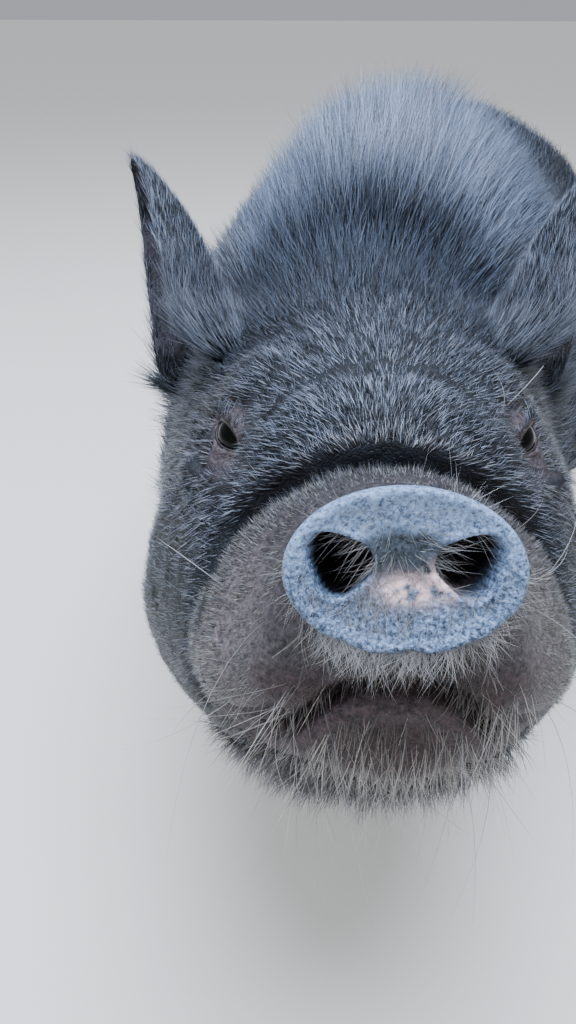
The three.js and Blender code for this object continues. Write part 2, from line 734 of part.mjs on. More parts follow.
const headPlaces = places(DISC_BACK, HEAD_BACK, headSteps);
const headLoft = bodyLength(headPlaces, SIDES_HEAD, 0);
const neckPlaces = places(HEAD_BACK + GAP, NECK_BACK, () => 22);
const torsoList = torsoPlaces(NECK_BACK + GAP);

let head = headLoft;
for (const side of [1, -1]) {
  head = head.add(lids(side)).subtract(lidOpening(side)).subtract(eyeBall(side, EYE_BALL.radius + GAP));
  head = head.subtract(nostrilBore(side));
}
const jaw = head.intersect(jawCutter(-GAP / 2, -GAP / 2));
head = head.subtract(jawCutter(JAW.seam, GAP / 2));
const crest = crestLocks();
const crestBetween = (from, to, grow) =>
  wasm.Manifold.union(crest.filter((lock) => lock.s >= from && lock.s < to).map((lock) => lockSolid(lock.shape, grow)));
const earsGrown = makeEar(1, GAP).add(makeEar(-1, GAP));
const headLocks = crestBetween(0, HEAD_BACK, 0).subtract(earsGrown);
head = head.add(headLocks.subtract(bodyLength(neckPlaces, SIDES_BODY, GAP)));
addNode("head", head, SKIN);
addNode("lower_jaw", jaw, SKIN);

let disc = makeDisc();
for (const side of [1, -1]) disc = disc.subtract(nostrilBore(side));
addNode("snout_disc", disc, DISC);

const neckLocks = crestBetween(HEAD_BACK, NECK_BACK, 0).subtract(earsGrown);
const neck = bodyLength(neckPlaces, SIDES_BODY, 0)
  .add(neckLocks)
  .subtract(crestBetween(0, HEAD_BACK, GAP))
  .subtract(bodyLength(headPlaces, SIDES_HEAD, GAP))
  .subtract(bodyLength(torsoList, SIDES_BODY, GAP));
addNode("neck", neck, SKIN);
const torso = bodyLength(torsoList, SIDES_BODY, 0)
  .add(crestBetween(NECK_BACK, RUMP_END, 0))
  .subtract(crestBetween(HEAD_BACK, NECK_BACK, GAP))
  .subtract(bodyLength(neckPlaces, SIDES_BODY, GAP));
addNode("torso", torso, SKIN);

// The trunk swollen by the gap, to cut what is set on it
const bridged = (list) => [...list.slice(0, -1), list.at(-1) + 2 * GAP];
const torsoGrown = bodyLength(torsoList, SIDES_BODY, GAP);
const frontGrown = bodyLength(bridged(headPlaces), SIDES_HEAD, GAP).add(
  bodyLength(bridged(neckPlaces), SIDES_BODY, GAP),
);
const trunkGrown = frontGrown.add(torsoGrown);

for (const [word, side] of [["left", 1], ["right", -1]]) {
  addNode("eye_" + word, eyeBall(side, EYE_BALL.radius), EYE);
  addNode("ear_" + word, makeEar(side, 0).subtract(trunkGrown), SKIN);
  for (const kind of ["fore", "hind"]) {
    const stride = STRIDE[kind + "_" + word];
    const leg = makeLeg(kind, side, stride, 0).subtract(trunkGrown);
    const legGrown = makeLeg(kind, side, stride, GAP);
    const foot = legSection(kind, side, stride, 1);
    addNode(kind + "_leg_" + word, leg, SKIN);
    for (const [place, inner] of [["inner", true], ["outer", false]]) {
      const name = kind + "_" + word + "_" + place;
      addNode("claw_" + name, makeClaw(foot, side, inner).subtract(legGrown), HORN);
      addNode("dew_claw_" + name, makeDewClaw(foot, side, inner).subtract(legGrown), HORN);
    }
  }
}
const tail = tailLocks().reduce((solid, lock) => solid.add(lockSolid(lock, 0)), makeTail(0));
addNode("tail", tail.subtract(torsoGrown), SKIN);

export default pig;
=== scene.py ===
"""A black pot-bellied pig at life size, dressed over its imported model.

The trunk is worked out in straightened coordinates: x to the pig's left, s back along the spine from
the snout disc, and h up from the spine, all in millimetres. The spine then raises and turns the head.
One skin takes the place of the fleshy solids, and a coat of solid bristles grows from it.
"""

import logging
import math
from dataclasses import dataclass, field, replace
from enum import Enum
from typing import Callable, Sequence

import bpy
import numpy as np
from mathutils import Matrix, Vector


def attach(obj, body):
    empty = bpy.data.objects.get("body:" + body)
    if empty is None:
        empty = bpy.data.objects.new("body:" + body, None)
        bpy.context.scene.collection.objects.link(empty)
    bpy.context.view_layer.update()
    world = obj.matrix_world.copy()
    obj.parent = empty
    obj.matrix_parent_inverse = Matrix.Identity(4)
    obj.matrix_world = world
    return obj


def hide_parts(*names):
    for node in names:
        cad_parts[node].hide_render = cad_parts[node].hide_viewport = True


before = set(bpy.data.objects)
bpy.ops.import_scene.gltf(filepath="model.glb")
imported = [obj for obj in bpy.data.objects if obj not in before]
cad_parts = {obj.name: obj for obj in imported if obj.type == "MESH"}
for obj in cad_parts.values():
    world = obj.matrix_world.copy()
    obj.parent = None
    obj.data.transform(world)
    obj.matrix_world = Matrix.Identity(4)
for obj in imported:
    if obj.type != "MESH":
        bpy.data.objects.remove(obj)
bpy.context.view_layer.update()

LOG = logging.getLogger("pig")
Array = np.ndarray
Piece = bpy.types.Object
Finish = bpy.types.Material
Socket = bpy.types.NodeSocket
Spot = tuple[float, float, float]
MM = 0.001
TAU = 2.0 * math.pi
ROOT_BODY = "root"
# Large odd numbers that scatter the corners of the noise's cubes.
SCATTER = np.array([374761393, 668265263, 1440662683])
SEED_STEP = 69069
MIXER = 1274126177
# Settings of the nodes that mix two colours and that multiply.
COLOURS = {"data_type": "RGBA"}
TIMES = {"operation": "MULTIPLY"}


class Side(Enum):
    """The two sides of the pig, as the sign of x."""

    LEFT = 1
    RIGHT = -1


class Limb(Enum):
    """The two kinds of leg."""

    FORE = "fore"
    HIND = "hind"


def smoothstep(t: Array) -> Array:
    """Rises from 0 to 1 with level ends: 3t² - 2t³ of the clamped value."""
    k = np.clip(t, 0.0, 1.0)
    return k * k * (3.0 - 2.0 * k)


def ramp(value: Array, start: float, width: float) -> Array:
    """Rises smoothly from 0 where the value is at the start to 1 a width past it."""
    return smoothstep((value - start) / width)


def bell(distance: Array, width: float) -> Array:
    """A bell curve of the distance: e to the minus (distance / width)²."""
    return np.exp(-((distance / width) ** 2))


def lumps(points: Array, size: float, seed: int) -> Array:
    """Smooth noise from -1 to 1: random values at the corners of cubes, blended by smoothstep.

    Args:
        points: Places, with x, y and z on the last axis.
        size: The cubes' edge in millimetres.
        seed: Which of the many patterns.

    Returns:
        One value for each place.
    """
    p = points / size + 1000.0
    cell = np.floor(p).astype(np.int64)
    share = smoothstep(p - cell)
    total = np.zeros(points.shape[:-1])
    for corner in np.ndindex(2, 2, 2):
        at = cell + np.array(corner)
        key = (at * SCATTER).sum(axis=-1) + seed * SEED_STEP
        key = (key ^ (key >> 13)) * MIXER
        value = ((key ^ (key >> 16)) & 0xFFFF) / 32767.5 - 1
        total += value * np.prod(np.where(corner, share, 1 - share), axis=-1)
    return total


def unit(v: Array) -> Array:
    """Vectors of the last axis scaled to length one."""
    return v / np.maximum(np.linalg.norm(v, axis=-1, keepdims=True), 1e-12)


def hermite(knots: Sequence[float], values: Sequence[float], at: Array) -> Array:
    """A smooth curve through values at knots, with the slope between each knot's neighbours.

    Args:
        knots: Rising places of the values.
        values: The value at each knot.
        at: Places to read the curve at.

    Returns:
        The curve's values, of the shape of at.
    """
    k = np.asarray(knots, float)
    v = np.asarray(values, float)
    n = len(k) - 1
    before = np.maximum(np.arange(n + 1) - 1, 0)
    after = np.minimum(np.arange(n + 1) + 1, n)
    slope = (v[after] - v[before]) / (k[after] - k[before])
    place = np.clip(at, k[0], k[-1])
    i = np.clip(np.searchsorted(k, place, side="right") - 1, 0, n - 1)
    span = k[i + 1] - k[i]
    t = (place - k[i]) / span
    start = (1 + 2 * t) * (1 - t) ** 2 * v[i] + t * (1 - t) ** 2 * span * slope[i]
    return start + t * t * (3 - 2 * t) * v[i + 1] + t * t * (t - 1) * span * slope[i + 1]


def through(points: Sequence[Sequence[float]], count: int) -> Array:
    """Points spread evenly by knot along a smooth curve through the given ones.

    Args:
        points: The curve's own points.
        count: How many points to give back.

    Returns:
        An array of count rows.
    """
    p = np.asarray(points, float)
    knots = np.arange(len(p))
    at = np.linspace(0, len(p) - 1, count)
    return np.stack([hermite(knots, p[:, c], at) for c in range(p.shape[1])], axis=-1)


def path_distance(path: Sequence[Sequence[float]], samples: int, x: Array, s: Array, h: Array) -> Array:
    """Distance from each point to a path on both sides, by the nearest of many points along it.

    Args:
        path: The path's own points, in straightened coordinates.
        samples: How many points to try along it.
        x: Distances to the pig's left.
        s: Distances back from the snout disc.
        h: Heights over the spine.

    Returns:
        Distances in millimetres.
    """
    near = np.full(np.shape(x), 1e6)
    for p in through(path, samples):
        near = np.minimum(near, (np.abs(x) - p[0]) ** 2 + (s - p[1]) ** 2 + (h - p[2]) ** 2)
    return np.sqrt(near)


def turns(count: int) -> Array:
    """Angles in equal steps round a circle."""
    return TAU * np.arange(count) / count


def in_scene(name: str, data: bpy.types.ID) -> Piece:
    """A new object in the scene for a mesh, a light or a camera."""
    obj = bpy.data.objects.new(name, data)
    bpy.context.scene.collection.objects.link(obj)
    return obj


def mesh_object(name: str, points: Array, faces: Array) -> Piece:
    """A new object from points in millimetres and faces of one size.

    Args:
        name: The piece's name.
        points: Rows of x, y and z.
        faces: Rows of point numbers, three or four to a row.

    Returns:
        The object, smooth shaded, in the scene.
    """
    mesh = bpy.data.meshes.new(name)
    corners = faces.shape[1]
    mesh.vertices.add(len(points))
    mesh.vertices.foreach_set("co", (points * MM).astype(np.float32).ravel())
    mesh.loops.add(faces.size)
    mesh.loops.foreach_set("vertex_index", faces.astype(np.int32).ravel())
    mesh.polygons.add(len(faces))
    mesh.polygons.foreach_set("loop_start", np.arange(0, faces.size, corners, dtype=np.int32))
    mesh.polygons.foreach_set("use_smooth", np.ones(len(faces), dtype=bool))
    mesh.update(calc_edges=True)
    mesh.validate()
    return in_scene(name, mesh)


def tube_faces(rows: int, columns: int) -> Array:
    """Quads of a grid that closes on itself across its columns, as rows of four point numbers."""
    i, j = np.meshgrid(np.arange(rows - 1), np.arange(columns), indexing="ij")
    k = (j + 1) % columns
    low, high = i * columns, (i + 1) * columns
    return np.stack([low + j, low + k, high + k, high + j], axis=-1).reshape(-1, 4)


def halved(quads: Array) -> Array:
    """Quads as twice as many triangles."""
    return np.concatenate([quads[:, [0, 1, 2]], quads[:, [0, 2, 3]]])


def closed_tube(name: str, grid: Array, inward: bool = False) -> Piece:
    """An object from a grid of rings, each end drawn together to its middle.

    Args:
        name: The piece's name.
        grid: Points as rings, columns, and x, y and z in millimetres.
        inward: True where the rings' order makes the faces point inwards.

    Returns:
        A closed object.
    """
    rows, columns = grid.shape[:2]
    points = np.concatenate([grid.reshape(-1, 3), grid[0].mean(0)[None], grid[-1].mean(0)[None]])
    first, last = rows * columns, rows * columns + 1
    j = np.arange(columns)
    k = (j + 1) % columns
    start = (rows - 1) * columns
    low = np.stack([np.full(columns, first), k, j], axis=-1)
    high = np.stack([np.full(columns, last), start + j, start + k], axis=-1)
    faces = np.concatenate([halved(tube_faces(rows, columns)), low, high])
    return mesh_object(name, points, faces[:, ::-1] if inward else faces)


def set_attribute(obj: Piece, name: str, values: Array) -> None:
    """Stores one number for each of the object's points under a name."""
    layer = obj.data.attributes.new(name, "FLOAT", "POINT")
    layer.data.foreach_set("value", values.astype(np.float32).ravel())


def points_of(obj: Piece) -> Array:
    """The object's points in millimetres, one to a row."""
    flat = np.empty(len(obj.data.vertices) * 3, dtype=np.float32)
    obj.data.vertices.foreach_get("co", flat)
    return flat.reshape(-1, 3).astype(float) / MM


@dataclass
class Spine:
    """The pig's spine: level through the torso, then turned and raised into the head."""

    rump_end: float = 962.0
    rump_y: float = 456.0
    height: float = 222.0
    pitch: float = math.radians(26)
    turn: float = math.radians(14)
    bend_from: float = 205.0
    bend_to: float = 385.0
    origins: Array = field(init=False)
    axes: Array = field(init=False)

    def __post_init__(self) -> None:
        """Walks forwards from the rump a millimetre at a time, as the solids do."""
        count = int(self.rump_end) + 1
        s = np.arange(count)
        bend = 1 - smoothstep((s - self.bend_from) / (self.bend_to - self.bend_from))
        p, a = -self.pitch * bend, self.turn * bend
        zero = np.zeros(count)
        side = np.stack([np.cos(a), np.sin(a), zero], axis=-1)
        back = np.stack([-np.sin(a) * np.cos(p), np.cos(a) * np.cos(p), np.sin(p)], axis=-1)
        up = np.cross(side, back)
        ahead = np.concatenate([np.cumsum(back[::-1], axis=0)[::-1][1:], np.zeros((1, 3))])
        self.origins = np.array([0.0, self.rump_y, self.height]) - ahead
        self.axes = np.stack([side, back, up], axis=1)

    def posed(self, x: Array, s: Array, h: Array) -> Array:
        """Points of the straightened body in the standing pig.

        Args:
            x: Distances to the pig's left.
            s: Distances back from the snout disc.
            h: Heights over the spine.

        Returns:
            Points with x, y and z on the last axis, between the frames of the nearest millimetres.
        """
        x, s, h = np.broadcast_arrays(x, s, h)
        place = np.clip(s, 0.0, self.rump_end)
        low = np.minimum(place.astype(int), int(self.rump_end) - 1)
        t = (place - low)[..., None]
        origin = self.origins[low] * (1 - t) + self.origins[low + 1] * t
        axes = self.axes[low] * (1 - t[..., None]) + self.axes[low + 1] * t[..., None]
        moved = origin
        for along, measure in enumerate((x, s - place, h)):
            moved = moved + measure[..., None] * axes[..., along, :]
        return moved

    def headwise(self, points: Array) -> Array:
        """World points in the head's own straight coordinates: x, s and h on the last axis."""
        return (points - self.origins[0]) @ self.axes[0].T


@dataclass(frozen=True)
class Station:
    """The trunk's section at one place: half width, and heights of its top, bottom and widest level."""

    s: float
    half: float
    top: float
    bottom: float
    waist: float


@dataclass(frozen=True)
class Bulge:
    """Fat or muscle that pushes the skin out and forwards round a place on both sides."""

    at: Spot
    size: Spot
    out: float
    forward: float = 0.0


@dataclass(frozen=True)
class Fold:
    """A groove of skin along a path on both sides, with its depth and half width."""

    path: tuple[Spot, ...]
    depth: float
    width: float


@dataclass
class Trunk:
    """Head, neck and torso as one surface of the place along the spine and the angle round it."""

    spine: Spine
    round_from: float = 820.0
    rear_level: float = 58.0
    first: float = 13.0
    samples: int = 36
    stations: tuple[Station, ...] = (
        Station(13, 33, 23.5, -27, -3),
        Station(18, 36, 24, -48, -8),
        Station(24, 41, 24.5, -70, -18),
        Station(34, 48, 25.5, -81, -30),
        Station(50, 59, 28, -91, -38),
        Station(70, 72, 40, -103, -42),
        Station(90, 84, 60, -113, -43),
        Station(115, 94, 80, -123, -42),
        Station(145, 103, 96, -130, -40),
        Station(180, 108, 108, -136, -34),
        Station(215, 111, 120, -136, -24),
        Station(250, 120, 134, -126, -8),
        Station(300, 132, 164, -112, 14),
        Station(380, 148, 188, -106, 24),
        Station(450, 160, 192, -118, 14),
        Station(550, 164, 174, -140, 0),
        Station(650, 178, 168, -150, -6),
        Station(750, 168, 176, -132, 8),
        Station(830, 162, 186, -86, 34),
        Station(900, 152, 176, -48, 46),
        Station(962, 140, 150, -20, 54),
    )
    bulges: tuple[Bulge, ...] = (
        Bulge((50, 54, -46), (26, 32, 30), 8),
        Bulge((98, 152, -44), (45, 52, 48), 8),
        Bulge((0, 84, 54), (50, 13, 16), 5, 2),
        Bulge((64, 126, 70), (24, 17, 15), 7, 2),
        Bulge((70, 116, 42), (18, 15, 13), -7),
        Bulge((78, 112, 16), (20, 14, 10), 4),
        Bulge((84, 200, 96), (30, 30, 34), 12),
        Bulge((0, 30, -64), (26, 16, 18), 3, 3),
        Bulge((140, 452, 10), (60, 62, 96), 15),
        Bulge((140, 846, 6), (70, 62, 96), 16),
    )
    folds: tuple[Fold, ...] = (
        Fold(((0, 64, 33), (30, 64, 27), (52, 70, 12), (63, 76, -10), (68, 80, -30), (68, 84, -62)), 9, 7),
        Fold(
            ((0, 15, -40), (20, 16, -44), (37, 36, -65), (55, 66, -73), (70, 92, -73), (82, 112, -68)),
            4,
            4,
        ),
        Fold(((48, 100, 34), (62, 104, 22), (84, 112, 14), (98, 126, 6)), 4, 6),
        Fold(((60, 236, -112), (96, 228, -70), (112, 224, -20), (108, 228, 30)), 8, 12),
    )
    crest_from: float = 150.0
    crest_full: float = 262.0
    crest_to: float = 930.0
    crest_high: float = 46.0
    crest_low: float = 18.0
    crest_spread: float = 0.5

    def read(self, key: str, s: Array) -> Array:
        """One measure of the stations as a smooth curve along the spine."""
        knots = [station.s for station in self.stations]
        return hermite(knots, [getattr(station, key) for station in self.stations], s)

    def crest(self, s: Array, angle: Array) -> Array:
        """Height of the crest's bristle tips over the skin: it rises at the poll and fades to the rump."""
        rise = smoothstep((s - self.crest_from) / (self.crest_full - self.crest_from))
        fall = 1 - smoothstep((s - self.crest_full) / (self.crest_to - self.crest_full))
        around = np.abs(np.arctan2(np.sin(angle), np.cos(angle)))
        height = self.crest_low * np.sqrt(fall) + (self.crest_high - self.crest_low) * fall
        return rise * height * bell(around, self.crest_spread)

    def straight(self, s: Array, angle: Array, rise: Array | float = 0.0) -> tuple[Array, Array, Array]:
        """The straightened surface.

        An upper and a lower half ellipse meet at the waist. The rump's sizes shrink by the root of
        1 - k^2.2, and each bulge and fold moves the skin along the section's outward direction.

        Args:
            s: Places along the spine.
            angle: Angles from the top towards the pig's left.
            rise: Height over the skin.

        Returns:
            Arrays of x, s and h.
        """
        s, angle = np.broadcast_arrays(np.asarray(s, float), np.asarray(angle, float))
        end = np.maximum(0, (s - self.round_from) / (self.spine.rump_end - self.round_from))
        shrink = np.sqrt(np.maximum(0, 1 - end**2.2))
        waist = self.rear_level + (self.read("waist", s) - self.rear_level) * shrink
        rim = np.where(np.cos(angle) > 0, self.read("top", s), self.read("bottom", s))
        height = np.abs(self.rear_level + (rim - self.rear_level) * shrink - waist)
        half = self.read("half", s) * shrink
        x, h = half * np.sin(angle), waist + height * np.cos(angle)
        across, up = np.sin(angle) * height, np.cos(angle) * half
        size = np.maximum(np.hypot(across, up), 1e-9)
        out = rise * np.minimum(1, shrink + 0.2) + np.zeros_like(x)
        forward = np.zeros_like(x)
        for bulge in self.bulges:
            steps = [(v - c) / r for v, c, r in zip((np.abs(x), s, h), bulge.at, bulge.size)]
            share = np.exp(-(steps[0] ** 2 + steps[1] ** 2 + steps[2] ** 2))
            out += bulge.out * share
            forward += bulge.forward * share
        for fold in self.folds:
            out -= fold.depth * bell(path_distance(fold.path, self.samples, x, s, h), fold.width)
        return x + across / size * out, s - forward, h + up / size * out

    def point(self, s: Array, angle: Array, rise: Array | float = 0.0) -> Array:
        """The surface in the standing pig, with x, y and z on the last axis."""
        return self.spine.posed(*self.straight(s, angle, rise))

    def frames(self, s: Array, angle: Array) -> tuple[Array, Array, Array, Array]:
        """Points of the skin with the directions out of it, back along it and across it.

        Args:
            s: Places along the spine.
            angle: Angles round it.

        Returns:
            Points, outward, backward and sideways unit vectors.
        """
        step, turn = 1.5, 0.02
        here = self.point(s, angle)
        back = unit(self.point(s + step, angle) - self.point(s - step, angle))
        around = self.point(s, angle + turn) - self.point(s, angle - turn)
        out = unit(np.cross(around, back))
        return here, out, back, np.cross(back, out)


@dataclass(frozen=True)
class LidForm:
    """A pad of skin round an eye, or a groove or ridge that rings it, in the eye's own axes.

    It is a bell of the distance to an oval: its rise, middle, stretches, radius and width, and the
    heights across the lids that it shows over and under.
    """

    rise: float
    middle: tuple[float, float]
    width: float
    radius: float = 0.0
    stretch: tuple[float, float] = (1.0, 1.0)
    over: float = -math.inf
    under: float = math.inf

    def height(self, a: Array, b: Array) -> Array:
        """The form's height at places along and across the lids."""
        reach = np.hypot((a - self.middle[0]) / self.stretch[0], (b - self.middle[1]) / self.stretch[1])
        return self.rise * bell(reach - self.radius, self.width) * (b > self.over) * (b < self.under)


@dataclass
class EyeSet:
    """The eyes: their places, the opening between the lids, and how the lids wrap round the balls."""

    spine: Spine
    at: Spot = (59.0, 121.0, 37.5)
    gaze: Spot = (0.68, -0.70, 0.15)
    radius: float = 13.0
    tilt: float = 0.6
    long: float = 11.5
    high: float = 5.8
    upper_lid: float = 3.6
    lower_lid: float = 2.2
    forms: tuple[LidForm, ...] = (
        LidForm(-2.6, (0, 0), 1.6, 17.5, stretch=(1, 1 / 1.15), over=0),
        LidForm(2.6, (2, -10.5), 5.0),
        LidForm(-3.2, (1, -2), 1.5, 15.0, under=0),
        LidForm(3.8, (-5, -20), 5.0, stretch=(1.3, 1)),
        LidForm(-3.2, (-1, -2), 1.8, 25.0, under=-2),
    )

    def axes(self, side: Side) -> tuple[Array, Array]:
        """The centre of one eye, and its three axes as rows: along the lids, up across them, and the gaze."""
        sign = side.value
        centre = self.spine.posed(*(np.float64(v) for v in (sign * self.at[0], self.at[1], self.at[2])))
        head = self.spine.axes[0]
        gaze = unit(np.array([sign * self.gaze[0], self.gaze[1], self.gaze[2]]) @ head)
        level = unit(np.cross(head[2], gaze))
        lean = sign * self.tilt
        along = level * math.cos(lean) + np.cross(gaze, level) * math.sin(lean)
        return centre, np.stack([along, np.cross(gaze, along), gaze])

    def local(self, points: Array, side: Side) -> Array:
        """World points in one eye's own axes."""
        centre, axes = self.axes(side)
        return (points - centre) @ axes.T

    def almond(self, local: Array) -> Array:
        """How far out a point lies in the lids' almond: 0 at its middle and 1 on its outline."""
        a, b = local[..., 0] / self.long, local[..., 1] / self.high
        cosine = a / np.maximum(np.hypot(a, b), 1e-6)
        return np.hypot(a, b / (1 - 0.25 * cosine**2))

    def lid_line(self, turn: Array, lift: float) -> Array:
        """The lids' edge over the ball, in the eye's own axes.

        It is (long·cos t, high·sin t·(1 - cos²t / 4)) at the height of a ball that is larger by the lift.

        Args:
            turn: Angles round the almond.
            lift: Height over the ball.

        Returns:
            Points along the lids.
        """
        a = self.long * np.cos(turn)
        b = self.high * np.sin(turn) * (1 - 0.25 * np.cos(turn) ** 2)
        return np.stack([a, b, np.sqrt((self.radius + lift) ** 2 - a**2 - b**2)], axis=-1)

    def near(self, points: Array) -> Array:
        """The almond measure of the nearer eye, and 9 behind or far from both."""
        ring = np.full(points.shape[:-1], 9.0)
        for side in Side:
            local = self.local(points, side)
            found = np.where((local[..., 2] > -4) & (local[..., 2] < 34), self.almond(local), 9.0)
            ring = np.minimum(ring, found)
        return ring

    def shape_lids(self, points: Array) -> Array:
        """Skin drawn back from the ball inside the almond, and wrapped round it in lids outside.

        A point keeps its place across the gaze. Its height along the gaze becomes the ball's, less a
        gap inside the almond and plus a lid's thickness outside, faded out over some millimetres.
        Two pads and the grooves between them lie under the lower lid.

        Args:
            points: Skin points, x, y and z on the last axis.

        Returns:
            The moved points.
        """
        moved = points.copy()
        for side in Side:
            centre, axes = self.axes(side)
            local = (points - centre) @ axes.T
            a, b, height = local[..., 0], local[..., 1], local[..., 2]
            ring = self.almond(local)
            flat = a**2 + b**2
            ball = np.sqrt(np.maximum(self.radius**2 - flat, 6.0))
            thick = np.where(b > 0, self.upper_lid, self.lower_lid)
            lid = np.sqrt(np.maximum((self.radius + thick) ** 2 - flat, 9.0))
            front = (height > -2) & (ring < 5)
            wrap = front * 0.9 * bell(np.maximum(ring - 1.05, 0) * self.high, 5.5)
            level = height * (1 - wrap) + lid * wrap
            for form in self.forms:
                level += front * form.height(a, b)
            inside = front * (1 - ramp(ring, 0.9, 0.14))
            level = level * (1 - inside) + np.minimum(level, ball - 3.0) * inside
            moved += (level - height)[..., None] * axes[2]
        return moved


@dataclass(frozen=True)
class Crease:
    """A groove, or a ridge, along a path on both sides of the face, with its height, half width and the strength
    of the painted shade in it.
    """

    path: tuple[Spot, ...]
    rise: float
    width: float
    dark: float = 0.0


@dataclass
class Relief:
    """The face's folds and wrinkles, as a height along the skin's own outward direction."""

    samples: int = 44
    creases: tuple[Crease, ...] = (
        Crease(
            ((0, 65, 30), (18, 66, 28), (33, 68, 22), (47, 71, 14), (58, 72, 2), (64, 68, -12)), -8, 5, 1
        ),
        Crease(((64, 68, -12), (67, 63, -29), (68, 62, -46), (69, 68, -62)), -8.0, 3.6, 1.0),
        Crease(((0, 81, 50), (20, 82, 47), (38, 85, 38), (54, 90, 26), (66, 92, 10)), 2.5, 8),
        Crease(
            ((0, 16, -41), (12, 17, -42), (22, 20, -47), (30, 26, -56), (38, 34, -65), (48, 44, -69)), -8, 2.4, 1
        ),
        Crease(((48, 44, -69), (60, 60, -71), (72, 80, -74), (82, 104, -70)), -4.0, 2.4, 0.8),
        Crease(((0, 14, -33), (14, 15, -34), (26, 18, -40), (36, 26, -52)), 2.2, 4.5),
        Crease(((0, 19, -50), (14, 20, -51), (26, 26, -62), (36, 36, -73), (46, 46, -77)), 3.2, 4.5),
        Crease(((39, 27, -55), (47, 36, -61), (57, 48, -64), (68, 62, -66), (76, 80, -68)), -5.0, 3.0, 0.9),
        Crease(((44, 30, -42), (54, 44, -46), (62, 54, -48)), 3.4, 11),
        Crease(((58, 112, 62), (70, 116, 62), (84, 126, 50), (92, 140, 34)), -2.2, 3, 0.4),
        Crease(((74, 92, -8), (80, 90, -30), (80, 92, -54)), -2.4, 4.5, 0.4),
        Crease(((0, 51, 30), (20, 51, 27), (38, 54, 18), (50, 57, 4), (57, 56, -14)), -1.1, 2.2, 0.3),
        Crease(((0, 38, 27), (18, 38, 25), (33, 40, 17), (44, 42, 2), (51, 44, -18)), -0.9, 1.9, 0.2),
        Crease(((0, 26, 25), (18, 26, 23), (32, 27, 15), (41, 29, 0), (46, 31, -20)), -0.8, 1.7, 0.2),
        Crease(((0, 99, 66), (22, 97, 62), (40, 93, 50)), -0.8, 4),
        Crease(((0, 114, 80), (26, 112, 74), (46, 106, 60)), -0.7, 4.5),
        Crease(((60, 150, 84), (80, 146, 66), (96, 150, 44)), -1.6, 4, 0.2),
        Crease(((0, 30, -84), (16, 32, -85), (30, 40, -86)), -1.0, 4),
    )

    def height(self, x: Array, s: Array, h: Array) -> Array:
        """The creases, each a bell of the distance to its path, over lumps that are finer on the face."""
        place = np.stack([x, s, h], axis=-1)
        face = 1 - ramp(s, 190, 60)
        total = face * (0.7 * lumps(place, 9, 1) + 0.4 * lumps(place, 4, 2))
        total += (1 - face) * 1.8 * lumps(place, 34, 3)
        front = s < 210
        for crease in self.creases:
            near = path_distance(crease.path, self.samples, x[front], s[front], h[front])
            total[front] += crease.rise * bell(near, crease.width)
        return total

    def shade(self, x: Array, s: Array, h: Array) -> Array:
        """How deep in a crease each point lies, from 0 to 1: the weight of the painted shade on skin and hair
        there.
        """
        total = np.zeros(np.shape(x))
        front = (s < 210) & (s > 5)
        for crease in self.creases:
            if crease.dark:
                near = path_distance(crease.path, self.samples, x[front], s[front], h[front])
                total[front] = np.maximum(total[front], crease.dark * bell(near, crease.width * 1.1))
        return total


